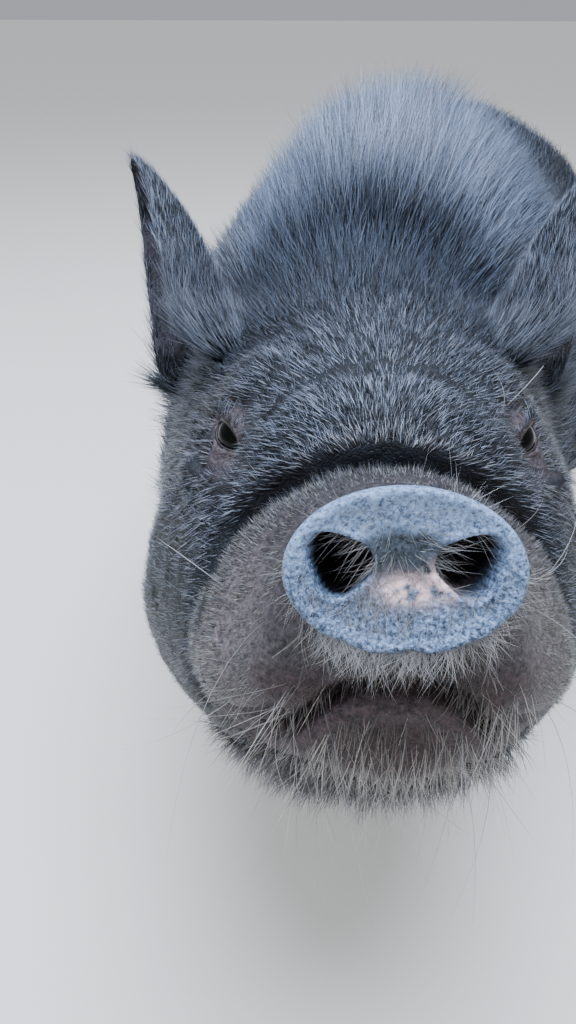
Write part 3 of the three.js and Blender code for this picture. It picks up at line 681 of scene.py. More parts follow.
@dataclass
class Snout:
    """The snout's disc: a rolled oval rim round a hollowed face with two nostrils."""

    spine: Spine
    half: float = 38.0
    high: float = 27.0
    hollow: float = 3.6
    nostril_x: float = 20.6
    nostril_h: float = 2.5
    nostril_wide: float = 10.2
    nostril_high: float = 10.0
    nostril_deep: float = 27.0
    face_rows: int = 44
    rim: tuple[tuple[float, float], ...] = (
        (0.84, 0.9), (0.875, 0.15), (0.905, -0.3), (0.935, -0.5), (0.962, -0.35), (0.982, 0.3), (0.995, 1.4),
        (1.0, 2.8), (0.998, 4.6), (0.985, 6.6), (0.96, 8.6), (0.93, 10.4), (0.905, 11.8),
    )

    def rows(self) -> tuple[Array, Array]:
        """Shares of the oval and places along the spine, from the face's middle to behind the rim."""
        face = np.linspace(0.02, 0.8, self.face_rows)
        face_s = self.hollow * (1 - (face / 0.8) ** 3) + 1.6 * (face / 0.8) ** 3
        rim_share, rim_s = np.array(self.rim).T
        return np.concatenate([face, rim_share]), np.concatenate([face_s, rim_s])

    def bore(self, x: Array, h: Array) -> Array:
        """How far out a point lies in the nearer nostril: 0 at its middle and 1 on its rounded outline."""
        across = (np.abs(x) - self.nostril_x) / self.nostril_wide
        lean = (np.abs(x) - self.nostril_x) * 0.12
        up = (h - self.nostril_h - lean) / self.nostril_high
        turn = np.arctan2(up, across)
        return np.hypot(across, up) / (1 + 0.1 * np.cos(3 * turn - 2.2))

    def surface(self, x: Array, s: Array, h: Array, share: Array) -> tuple[Array, Array, Array]:
        """The oval's points with the nostrils, the notch under them and fine leathery lumps.

        A nostril is a bowl: its depth times the root of 1 - r², inside a raised lip.
        """
        r = self.bore(x, h)
        inner = share < 0.87
        pit = self.nostril_deep * np.sqrt(np.maximum(0, 1 - r**2)) * inner
        lip = 0.9 * bell(r - 1.13, 0.14) * inner
        groove = 1.4 * bell(x - 2, 3.0) * bell(h + 22, 12)
        place = np.stack([x, np.zeros_like(x) + s, h], axis=-1)
        grain = 0.35 * lumps(place, 3.2, 5) + 0.22 * lumps(place, 1.7, 6)
        notch = 0.02 * lumps(place, 5, 7) - 0.05 * bell(x - 2, 4)
        ragged = 1 + notch * ramp(share, 0.85, 0.1) * (h < -8)
        return x * (1 - 0.2 * pit / self.nostril_deep) * ragged, s + pit - lip + groove + grain, h * ragged

    def points(self, angles: Array) -> Array:
        """The disc's rings round the given angles, in the standing pig."""
        share, s = (v[:, None] for v in self.rows())
        foot = np.where(np.cos(angles) < 0, 0.96, 1.0)
        x = self.half * share * np.sin(angles)
        h = self.high * share * foot * np.cos(angles)
        return self.spine.posed(*self.surface(x, s + 0 * x, h, share + 0 * x))

    def frames(self, x: Array, h: Array) -> tuple[Array, Array]:
        """Places on the disc's face, and the outward direction there."""
        share = np.hypot(x / self.half, h / self.high)
        rows, places = (v[: self.face_rows + 8] for v in self.rows())
        head = self.spine.axes[0]
        here = self.spine.posed(*self.surface(x, np.interp(share, rows, places), h, share))
        aside = x[:, None] * head[0] + h[:, None] * head[2]
        return here, unit(-head[1] + ramp(share, 0.8, 0.2)[:, None] * aside / 30)


@dataclass
class Ear:
    """A cupped, pointed ear as a closed leaf that opens sideways."""

    spine: Spine
    side: Side
    base: Spot = (88.0, 212.0, 86.0)
    tip: Spot = (139.0, 243.0, 193.0)
    open: Spot = (0.95, -0.3, 0.0)
    sunk: float = 44.0
    wide: float = 38.0
    deep: float = 1.25
    taper: float = 0.62
    curl: float = 1.5
    thick: float = 3.2
    rows: int = 52
    columns: int = 72

    def ends(self) -> tuple[Array, Array]:
        """The middle of the ear's base and its tip."""
        sign = self.side.value
        places = ((sign * p[0], p[1], p[2]) for p in (self.base, self.tip))
        base, tip = (self.spine.posed(*(np.float64(c) for c in place)) for place in places)
        return base, tip

    def opening(self) -> Array:
        """The direction that the cup opens, square to the ear's length."""
        base, tip = self.ends()
        axis = unit(tip - base)
        way = np.array([self.side.value * self.open[0], self.open[1], self.open[2]]) @ self.spine.axes[0]
        return unit(way - way.dot(axis) * axis)

    def middle(self) -> Array:
        """A place a little over a third of the way up the ear."""
        base, tip = self.ends()
        return base + 0.4 * (tip - base)

    def sheet(self, v: Array, w: Array, out: Array) -> Array:
        """Points of the leaf.

        Across, the leaf is an arc of an oval that turns by the curl each way. Its half width falls
        along the ear by a power of what is left, and its root narrows and dips into the head.

        Args:
            v: Place along the ear, from -1 at the sunk root through 0 at the base to 1 at the tip.
            w: Place across it, from -1 to 1.
            out: Height over the leaf's middle layer, positive on the back of the ear.

        Returns:
            Points with x, y and z on the last axis.
        """
        base, tip = self.ends()
        length = np.linalg.norm(tip - base)
        axis = (tip - base) / length
        opening = self.opening()
        wide = np.cross(axis, opening)
        above, under = np.maximum(v, 0), np.maximum(-v, 0)
        half = self.wide * (1 - above) ** self.taper * (1 - 0.7 * under**1.5)
        deep = half * self.deep
        middle = 0.55 * deep * (1 - above**2) - 26 * under**1.3
        along = np.where(v < 0, self.sunk * v, length * v)
        wave = 1.5 * np.sin(9 * v + 2 * w) * (1 - np.abs(w)) * (v > 0)
        side_reach = (half + out) * np.sin(w * self.curl) / math.sin(self.curl)
        open_reach = middle - (deep + out) * np.cos(w * self.curl) + wave
        return base + along[..., None] * axis + side_reach[..., None] * wide + open_reach[..., None] * opening

    def half_thickness(self, v: Array) -> Array:
        """Half the leaf's thickness, thinner towards the tip."""
        return self.thick * (0.5 - 0.25 * np.maximum(v, 0)) * np.minimum(1, 6 * (1.004 - v))

    def frames(self, v: Array, w: Array, face: Array) -> tuple[Array, Array, Array]:
        """Places on the leaf with the directions out of it and along it.

        Args:
            v: Places along the ear.
            w: Places across it.
            face: 1 on the back of the ear and -1 in its cup.

        Returns:
            Points, outward unit vectors and unit vectors towards the tip.
        """
        out = face * self.half_thickness(v)
        here = self.sheet(v, w, out)
        outward = unit(self.sheet(v, w, out + face) - here)
        return here, outward, unit(self.sheet(v + 0.01, w, out) - here)

    def build(self) -> Piece:
        """The closed leaf, its rim rounded: the layer's height is the root of the sine round the ring."""
        free = np.linspace(0, 1, self.rows) ** 0.9 * 0.995
        v = np.concatenate([np.linspace(-1, 0, 14)[:-1], free])[:, None]
        turn = turns(self.columns)[None]
        w = np.cos(turn) * np.ones_like(v)
        swell = np.sign(np.sin(turn)) * np.abs(np.sin(turn)) ** 0.6
        grid = self.sheet(v * np.ones_like(turn), w, self.half_thickness(v) * swell)
        return closed_tube("ear_" + self.side.name.lower(), grid, self.side is Side.RIGHT)


@dataclass(frozen=True)
class Joint:
    """A leg's section: its offset outwards and backwards, its height, and its half width and depth."""

    out: float
    back: float
    z: float
    half: float
    deep: float


@dataclass
class Leg:
    """One leg from inside the trunk down to its claws."""

    limb: Limb
    side: Side
    stride: float
    columns: int = 44
    rows: int = 64
    inset: float = 1.2
    creases: tuple[Spot, ...] = ((0.9, 40, 5), (0.7, 58, 4), (0.8, 104, 7))
    places: dict[Limb, tuple[float, float]] = field(
        default_factory=lambda: {Limb.FORE: (98.0, -38.0), Limb.HIND: (96.0, 338.0)}
    )
    joints: dict[Limb, tuple[Joint, ...]] = field(
        default_factory=lambda: {
            Limb.FORE: (
                Joint(-6, 8, 250, 44, 66),
                Joint(0, 6, 190, 50, 64),
                Joint(2, 4, 152, 42, 49),
                Joint(0, -2, 118, 31, 34),
                Joint(-2, -6, 92, 28, 29),
                Joint(-2, -3, 66, 24, 25),
                Joint(0, 0, 46, 26, 27),
                Joint(1, -6, 30, 24, 24),
                Joint(1, -9, 20, 19, 17),
            ),
            Limb.HIND: (
                Joint(-8, -16, 270, 50, 84),
                Joint(-2, -10, 205, 54, 84),
                Joint(2, 6, 160, 44, 62),
                Joint(0, 24, 124, 31, 41),
                Joint(-2, 30, 98, 25, 30),
                Joint(-2, 20, 70, 23, 25),
                Joint(0, 10, 46, 26, 27),
                Joint(1, 2, 30, 24, 24),
                Joint(1, -2, 20, 19, 17),
            ),
        }
    )

    def name(self) -> str:
        """The leg's words, such as fore_left."""
        return f"{self.limb.value}_{self.side.name.lower()}"

    def section(self, t: Array) -> tuple[Array, Array, Array]:
        """Centres, half widths and half depths at shares of the leg from 0 at the body to 1 at the foot."""
        joints = self.joints[self.limb]
        knots = np.linspace(0, 1, len(joints))
        keys = ("out", "back", "z", "half", "deep")
        out, back, z, half, deep = (hermite(knots, [getattr(j, key) for j in joints], t) for key in keys)
        x, y = self.places[self.limb]
        swing = self.stride * smoothstep((joints[0].z - z) / joints[0].z)
        centre = np.stack([self.side.value * (x + out), y + back + swing, z], axis=-1)
        return centre, half, deep

    def point(self, t: Array, angle: Array, shrink: float) -> Array:
        """Points of the leg's surface: ovals round its centres, a little inside the solid's."""
        centre, half, deep = self.section(t)
        crease = sum(depth * bell(centre[..., 2] - z, wide) for depth, z, wide in self.creases)
        wide = (half - shrink - crease) * np.sin(angle)
        long = (deep - shrink - crease) * np.cos(angle)
        return centre + np.stack([wide, long, np.zeros_like(wide)], axis=-1)

    def build(self) -> Piece:
        """The closed leg."""
        t = np.linspace(0, 1, self.rows)[:, None]
        angle = turns(self.columns)[None]
        grid = self.point(t * np.ones_like(angle), angle * np.ones_like(t), self.inset)
        return closed_tube("leg_" + self.name(), grid)


@dataclass
class Claws:
    """The horny claws of one foot: two that bear the weight and two dew claws behind them."""

    leg: Leg
    long: float = 46.0
    wide: float = 21.0
    high: float = 28.0
    apart: float = 12.2
    toe: float = 6.0
    splay: float = 0.1
    dew_long: float = 17.0
    dew_wide: float = 11.0
    dew_apart: float = 13.0
    dew_behind: float = 19.0
    dew_z: float = 33.0
    columns: int = 32

    def sign(self, inner: bool) -> int:
        """Which way the claw stands from its foot's middle."""
        return -self.leg.side.value if inner else self.leg.side.value

    def claw(self, inner: bool) -> Array:
        """Rings of a bearing claw, from its flat sole up its sloping wall, with growth rings on the wall."""
        centre = self.leg.section(np.float64(1))[0]
        sign = self.sign(inner)
        level = np.array([0, 0, 1.2, 4, 8, 12, 16, 20, 24, 26.5, 28])
        knots = [0, 4, 15, self.high]
        grow = hermite(knots, [1, 1.02, 0.86, 0.62], level)
        broad = hermite(knots, [0.92, 1, 0.98, 0.86], level)
        shift = hermite(knots, [0, 0, 0.07, 0.15], level)
        grow, broad = grow * (1 + 0.012 * np.sin(level * 1.9)), broad * (1 + 0.012 * np.sin(level * 1.9))
        tuck = np.array([0.6, 0.985] + [1] * 9)
        grow, broad, shift, level = (v[:, None] for v in (grow * tuck, broad * tuck, shift, level))
        a = turns(self.columns)[None]
        toe = np.where(np.cos(a) > 0, 1.12, 0.88)
        x = self.wide / 2 * broad * np.sin(a) * (1 - 0.25 * np.maximum(0, np.cos(a)))
        y = -self.long / 2 * grow * np.cos(a) * toe + self.long * shift - self.toe
        turn = sign * self.splay
        world_x = centre[0] + sign * self.apart + x * math.cos(turn) + y * math.sin(turn)
        world_y = centre[1] + y * math.cos(turn) + 0 * a
        return np.stack(np.broadcast_arrays(world_x, world_y, level), axis=-1)

    def dew(self, inner: bool) -> Array:
        """Rings of a dew claw, a short horn that points down and back."""
        centre = self.leg.section(np.float64(1))[0]
        sign = self.sign(inner)
        t = np.linspace(0, 1, 10)[:, None]
        a = turns(20)[None]
        shrink = (1 - 0.72 * t * t) * np.sqrt(np.maximum(0.04, 1 - t**6)) * self.dew_wide / 2
        x = centre[0] + sign * (self.dew_apart + 3 * t) + shrink * np.sin(a)
        y = centre[1] + self.dew_behind - 6 + self.dew_long * t + shrink * np.cos(a) * 0.5
        z = self.dew_z - 12 * t + shrink * np.cos(a)
        return np.stack(np.broadcast_arrays(x, y, z), axis=-1)

    def build(self, finish: Finish) -> list[Piece]:
        """The foot's four claws, each in the place of its solid."""
        made = []
        for word, inner in (("inner", True), ("outer", False)):
            place = f"{self.leg.name()}_{word}"
            pieces = (
                ("claw_", closed_tube("hoof_" + place, self.claw(inner), True)),
                ("dew_claw_", closed_tube("dew_hoof_" + place, self.dew(inner), False)),
            )
            for kind, piece in pieces:
                turn_outwards(piece)
                dress(piece, finish, [kind + place])
                made.append(piece)
        return made


@dataclass
class Tail:
    """A thin tail that hangs behind the rump."""

    places: tuple[float, ...] = (0, 0.2, 0.38, 0.64, 1)
    y: tuple[float, ...] = (426, 460, 476, 478, 472)
    z: tuple[float, ...] = (346, 336, 304, 256, 186)
    radii: tuple[float, ...] = (15, 12, 9.5, 7.5, 5)
    lean: float = 10.0

    def centre(self, t: Array) -> Array:
        """The tail's middle line, a smooth curve through its places."""
        t = np.asarray(t, float)
        y, z = (hermite(self.places, values, t) for values in (self.y, self.z))
        return np.stack([self.lean * t * t, y, z], axis=-1)

    def frames(self, t: Array, angle: Array) -> tuple[Array, Array, Array]:
        """Places on the tail, with the directions out of it and down along it."""
        side = np.array([1.0, 0, 0])
        along = unit(self.centre(np.minimum(t + 0.01, 1)) - self.centre(np.maximum(t - 0.01, 0)))
        front = unit(np.cross(side, along))
        out = np.sin(angle)[..., None] * side + np.cos(angle)[..., None] * front
        radius = hermite(self.places, self.radii, t) - 1
        return self.centre(t) + radius[..., None] * out, out, along

    def build(self) -> Piece:
        """The closed tail, a tube of falling radius round its middle line."""
        t, angle = np.meshgrid(np.linspace(0, 1, 60), turns(28), indexing="ij")
        return closed_tube("tail", self.frames(t, angle)[0])


def turn_outwards(obj: Piece) -> None:
    """Turns a closed piece's faces outwards, judged by the sign of its volume."""
    points = points_of(obj)
    corners = np.empty(len(obj.data.loops), dtype=np.int32)
    obj.data.loops.foreach_get("vertex_index", corners)
    a, b, c = points[corners.reshape(-1, 3)].transpose(1, 0, 2)
    if np.einsum("ij,ij->i", a, np.cross(b, c)).sum() < 0:
        obj.data.flip_normals()


def dress(obj: Piece, finish: Finish, nodes: Sequence[str] = ()) -> None:
    """Gives a piece its finish and its body, and the solids that it stands for."""
    obj.data.materials.clear()
    obj.data.materials.append(finish)
    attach(obj, ROOT_BODY)
    if nodes:
        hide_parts(*nodes)
    LOG.info("%s: %d points", obj.name, len(obj.data.vertices))


def linear(code: str) -> tuple[float, float, float, float]:
    """An sRGB hex colour as the linear values that a shader takes."""
    shares = [int(code[i : i + 2], 16) / 255 for i in (1, 3, 5)]
    return tuple(c / 12.92 if c <= 0.04045 else ((c + 0.055) / 1.055) ** 2.4 for c in shares) + (1.0,)


class Shader:
    """A node material under construction, whose patterns read Object coordinates."""

    def __init__(self, name: str) -> None:
        """Starts a material with a Principled surface."""
        self.material = bpy.data.materials.new(name)
        self.material.use_nodes = True
        self.tree = self.material.node_tree
        self.place = self.add("TexCoord", "Object")

    def feed(self, node: bpy.types.Node, inputs: dict) -> None:
        """Sets or links the inputs of a node."""
        for key, value in inputs.items():
            if isinstance(value, Socket):
                self.tree.links.new(value, node.inputs[key])
            else:
                node.inputs[key].default_value = value

    def add(
        self, kind: str, output: str | int, inputs: dict | None = None, settings: dict | None = None
    ) -> Socket:
        """Adds a node with its settings and links.

        Args:
            kind: The node's type name, after ShaderNode.
            output: The name or number of the output that is wanted.
            inputs: Values, or output sockets to link, by input name or number.
            settings: Properties of the node.

        Returns:
            The output.
        """
        node = self.tree.nodes.new("ShaderNode" + kind)
        for key, value in (settings or {}).items():
            setattr(node, key, value)
        self.feed(node, inputs or {})
        return node.outputs[output]

    def finish(self, inputs: dict) -> Finish:
        """Feeds the surface, and gives the material."""
        self.feed(self.tree.nodes["Principled BSDF"], inputs)
        return self.material


@dataclass(frozen=True)
class HideFinish:
    """Pig skin: slate black, brown round the lips, and blue-grey on the disc, whose rim is painted sky
    reflection.
    """

    # Skin grows in small plates between creases, so the eye gets a matt, broken surface with a soft sheen where
    # it is stretched. The disc's pale blue-grey rim is painted sky reflection, and the disc darkens towards its
    # bottom as painted shade.

    deep: str = "#07090b"
    slate: str = "#1a1e25"
    # The muzzle is brown-grey skin, and its pale mottles are partly painted sheen.
    muzzle: str = "#1f1b1d"
    muzzle_tone_and_sheen: str = "#857c7e"
    lip: str = "#0e0b0b"
    lip_light: str = "#473a3a"
    bare: str = "#1d1719"
    bare_light: str = "#5a5053"
    face: str = "#14181d"
    face_light: str = "#4d5862"
    # The rim's two colours are painted sky reflection, pale blue-grey.
    rim: str = "#2b3a50"
    rim_sky_reflection: str = "#8fa9ce"
    pink: str = "#f2d3d2"
    cup: str = "#54505a"
    # The bore colour is painted shade, near black, for the nostrils' depths and the creases.
    bore: str = "#070505"
    # Pores half a millimetre apart and creases of one would be too fine to show, so both are drawn coarser.
    pore_mm: float = 1.3
    crease_mm: float = 2.8

    def clouds(self, shader: Shader) -> dict[str, Socket]:
        """Noise clouds by name, each with its size in millimetres, detail, roughness and range."""
        kinds = {
            "cloud": (18, 4, 0.6, 0.32, 0.7),
            "fine": (2.0, 4, 0.65, 0.3, 0.72),
            "speck": (1.3, 4, 0.7, 0.36, 0.66),
            "grain": (1.5, 5, 0.8, 0.34, 0.58),
            "spots": (4.5, 4, 0.5, 0.36, 0.5),
        }
        found = {}
        for name, (size, detail, rough, low, high) in kinds.items():
            noise = {"Vector": shader.place, "Scale": 1 / (size * MM), "Detail": detail, "Roughness": rough}
            cloud = shader.add("TexNoise", "Fac", noise)
            spread = {"Value": cloud, "From Min": low, "From Max": high}
            found[name] = shader.add("MapRange", "Result", spread)
        return found

    def colour(self, shader: Shader, cloud: dict[str, Socket]) -> Socket:
        """Layers each region's two colours over the slate by the masks on the skin's points."""
        names = ("muzzle", "lip", "bare", "cup", "disc", "rim", "worn", "pink", "bore", "fold")
        masks = {name: shader.add("Attribute", "Fac", settings={"attribute_name": name}) for name in names}
        regions = (
            ("muzzle", "fine", self.muzzle, self.muzzle_tone_and_sheen),
            ("lip", "fine", self.lip, self.lip_light),
            ("bare", "fine", self.bare, self.bare_light),
            ("cup", "cloud", self.deep, self.cup),
            ("disc", "speck", self.face, self.face_light),
            ("rim", "grain", self.rim, self.rim_sky_reflection),
        )
        ground = {0: cloud["cloud"], 6: linear(self.deep), 7: linear(self.slate)}
        colour = shader.add("Mix", 2, ground, COLOURS)
        for region, pattern, dark, light in regions:
            own = shader.add("Mix", 2, {0: cloud[pattern], 6: linear(dark), 7: linear(light)}, COLOURS)
            colour = shader.add("Mix", 2, {0: masks[region], 6: colour, 7: own}, COLOURS)
        # Dark speckles that thicken towards the disc's bottom are painted shade, and bores and folds are painted
        # near black as shade.
        worn = shader.add("Math", 0, {0: masks["worn"], 1: cloud["speck"]}, TIMES)
        pink = shader.add("Math", 0, {0: masks["pink"], 1: cloud["spots"]}, TIMES)
        spots = ((worn, self.face), (pink, self.pink), (masks["bore"], self.bore), (masks["fold"], self.bore))
        for share, code in spots:
            colour = shader.add("Mix", 2, {0: share, 6: colour, 7: linear(code)}, COLOURS)
        return colour

    def make(self) -> Finish:
        """Builds the material: its layered colour over bumps, a mesh of creases and pores."""
        shader = Shader("black_pig_skin")
        cloud = self.clouds(shader)
        edge = {"Vector": shader.place, "Scale": 1 / (self.crease_mm * MM)}
        crease = shader.add("TexVoronoi", "Distance", edge, {"feature": "DISTANCE_TO_EDGE"})
        dots = {"Vector": shader.place, "Scale": 1 / (self.pore_mm * MM)}
        pore = shader.add("TexVoronoi", "Distance", dots)
        lump = {"Vector": shader.place, "Scale": 1 / (2.4 * MM), "Detail": 4, "Roughness": 0.6}
        grit = {"Vector": shader.place, "Scale": 1 / (0.8 * MM), "Detail": 3, "Roughness": 0.5}
        heights = (
            (shader.add("TexNoise", "Fac", lump), 0.7, 0.6),
            (shader.add("MapRange", "Result", {"Value": crease, "From Max": 0.2}), 0.25, 0.6),
            (shader.add("MapRange", "Result", {"Value": pore, "From Max": 0.5}), 0.22, 0.8),
            (shader.add("TexNoise", "Fac", grit), 0.14, 0.6),
        )
        under: dict = {}
        for height, depth_mm, strength in heights:
            bump = {"Height": height, "Distance": depth_mm * MM, "Strength": strength, **under}
            under = {"Normal": shader.add("Bump", "Normal", bump)}
        rough = shader.add("MapRange", "Result", {"Value": cloud["fine"], "To Min": 0.46, "To Max": 0.64})
        colour = self.colour(shader, cloud)
        gloss = {"Roughness": rough, "IOR": 1.38, "Specular IOR Level": 0.42}
        return shader.finish({"Base Color": colour, **gloss, **under})


@dataclass(frozen=True)
class BristleFinish:
    """Keratin hair: darker at the root, and pale, cool or warm, at the tip; the black bristles' blue-grey tip is
    painted sky reflection.
    """

    # A bristle grows as a smooth, scaled rod, so the eye gets a thin glint along it. On the black bristles the
    # pale blue-grey tip is painted sky reflection; the pale bristles are pale hair to the tip.

    name: str
    root: str
    tip: str
    warm_tip: str
    shine: float = 0.4
    rise: float = 1.5

    def make(self) -> Finish:
        """Builds the material: the tip's share is the place along, to a power, times the bristle's shade."""
        shader = Shader(self.name)
        names = ("along", "shade", "warm")
        along, shade, warm = (
            shader.add("Attribute", "Fac", settings={"attribute_name": name}) for name in names
        )
        rise = shader.add("Math", 0, {0: along, 1: self.rise}, {"operation": "POWER"})
        share = shader.add("Math", 0, {0: rise, 1: shade}, TIMES)
        tip = shader.add("Mix", 2, {0: warm, 6: linear(self.tip), 7: linear(self.warm_tip)}, COLOURS)
        colour = shader.add("Mix", 2, {0: share, 6: linear(self.root), 7: tip}, COLOURS)
        return shader.finish({"Base Color": colour, "Roughness": self.shine, "IOR": 1.5})


@dataclass(frozen=True)
class EyeFinish:
    """A wet eye: a dark brown iris round a wide pupil."""

    # The cornea is smooth and bathed in tears, so the eye gets one small sharp glint on near black.

    pupil: str = "#020202"
    iris: str = "#0b0807"
    white: str = "#1a1517"

    def make(self) -> Finish:
        """Builds the material from the angle from the gaze, stored on the ball's points."""
        shader = Shader("wet_dark_eye")
        ring = shader.add("Attribute", "Fac", settings={"attribute_name": "ring"})
        streak = shader.add("TexNoise", "Fac", {"Vector": shader.place, "Scale": 1 / (0.8 * MM), "Detail": 4})
        share = shader.add("MapRange", "Result", {"Value": streak, "From Min": 0.35, "From Max": 0.7})
        iris = shader.add("Mix", 2, {0: share, 6: linear(self.iris), 7: linear(self.pupil)}, COLOURS)
        inner = shader.add("MapRange", "Result", {"Value": ring, "From Min": 0.36, "From Max": 0.42})
        outer = shader.add("MapRange", "Result", {"Value": ring, "From Min": 0.72, "From Max": 0.82})
        colour = shader.add("Mix", 2, {0: inner, 6: linear(self.pupil), 7: iris}, COLOURS)
        colour = shader.add("Mix", 2, {0: outer, 6: colour, 7: linear(self.white)}, COLOURS)
        tears = {"Coat Weight": 0.2, "Coat Roughness": 0.03, "Coat IOR": 1.3}
        return shader.finish({"Base Color": colour, "Roughness": 0.07, "IOR": 1.22, **tears})


@dataclass(frozen=True)
class LidFinish:
    """The lids' bare moist rims: dark brown skin, mottled."""

    # Thin skin without hair, kept moist by the eye, so it shines softly in short broken lines.

    dark: str = "#0e0a0b"
    light: str = "#241c1d"

    def make(self) -> Finish:
        """Builds the material with mottling half a millimetre to two millimetres across."""
        shader = Shader("eyelid_rim_skin")
        mottle = {"Vector": shader.place, "Scale": 1 / (1.8 * MM), "Detail": 4, "Roughness": 0.6}
        spots = {"Value": shader.add("TexNoise", "Fac", mottle), "From Min": 0.35, "From Max": 0.7}
        share = shader.add("MapRange", "Result", spots)
        colours = {0: share, 6: linear(self.dark), 7: linear(self.light)}
        colour = shader.add("Mix", 2, colours, COLOURS)
        grit = shader.add("TexNoise", "Fac", {"Vector": shader.place, "Scale": 1 / (0.6 * MM), "Detail": 3})
        normal = shader.add("Bump", "Normal", {"Height": grit, "Distance": 0.2 * MM, "Strength": 0.7})
        return shader.finish({"Base Color": colour, "Roughness": 0.5, "Normal": normal})


@dataclass(frozen=True)
class HornFinish:
    """Claw horn: dark, with growth rings."""

    # Horn grows down in rings and is rubbed by the ground, so the eye gets a satin wall with faint
    # bands, scuffed pale in patches.

    dark: str = "#1d1917"
    light: str = "#4a4038"
    ring_mm: float = 2.4

    def make(self) -> Finish:
        """Builds the material with bands that follow the height over the floor."""
        shader = Shader("worn_claw_horn")
        flat = shader.add("Mapping", 0, {"Vector": shader.place, "Scale": (0.2, 0.2, 1.0)})
        bands = {"Vector": flat, "Scale": 1 / (self.ring_mm * MM) / TAU, "Distortion": 2.0}
        wave = shader.add("TexWave", "Fac", bands, {"bands_direction": "Z"})
        scuff = shader.add("TexNoise", "Fac", {"Vector": shader.place, "Scale": 1 / (6 * MM), "Detail": 4})
        worn = shader.add("MapRange", "Result", {"Value": scuff, "From Min": 0.35, "From Max": 0.65})
        colours = {0: worn, 6: linear(self.dark), 7: linear(self.light)}
        colour = shader.add("Mix", 2, colours, COLOURS)
        grit = shader.add("TexNoise", "Fac", {"Vector": shader.place, "Scale": 1 / (1.0 * MM), "Detail": 3})
        normal = shader.add("Bump", "Normal", {"Height": wave, "Distance": 0.2 * MM, "Strength": 0.5})
        fine = {"Height": grit, "Distance": 0.15 * MM, "Strength": 0.5, "Normal": normal}
        normal = shader.add("Bump", "Normal", fine)
        return shader.finish({"Base Color": colour, "Roughness": 0.5, "Normal": normal, "IOR": 1.54})


@dataclass
class Pig:
    """The parts whose shapes the skin and the coat share."""

    spine: Spine = field(default_factory=Spine)
    relief: Relief = field(default_factory=Relief)
    trunk: Trunk = field(init=False)
    eyes: EyeSet = field(init=False)
    snout: Snout = field(init=False)
    ears: dict[Side, Ear] = field(init=False)
    legs: list[Leg] = field(init=False)
    tail: Tail = field(default_factory=Tail)
    strides: tuple[float, ...] = (-16.0, 10.0, 12.0, -14.0)

    def __post_init__(self) -> None:
        """Makes each part from the spine."""
        self.trunk = Trunk(self.spine)
        self.eyes = EyeSet(self.spine)
        self.snout = Snout(self.spine)
        self.ears = {side: Ear(self.spine, side) for side in Side}
        kinds = [(limb, side) for limb in Limb for side in Side]
        self.legs = [Leg(limb, side, stride) for (limb, side), stride in zip(kinds, self.strides)]

    def skin(self, s: Array, angle: Array) -> tuple[Array, Array, Array, Array]:
        """The trunk's finished skin, with the directions out of it, back along it and across it.

        The plain surface moves by the relief's height along its own outward direction, which is the
        cross product of its two tangents, and the lids are then wrapped round the eyes.

        Args:
            s: Places along the spine.
            angle: Angles from the top towards the pig's left.

        Returns:
            Points, outward, backward and sideways unit vectors, x, y and z on the last axis.
        """
        step, turn = 0.8, 0.012
        x, place, h = self.trunk.straight(s, angle)
        here = self.spine.posed(x, place, h)
        back = unit(self.trunk.point(s + step, angle) - self.trunk.point(s - step, angle))
        around = self.trunk.point(s, angle + turn) - self.trunk.point(s, angle - turn)
        out = unit(np.cross(around, back))
        lift = self.relief.height(x, place, h) * ramp(s, 12.8, 2.0) * (1 - ramp(s, 900, 60))
        points = self.eyes.shape_lids(here + lift[..., None] * out)
        return points, out, back, np.cross(back, out)


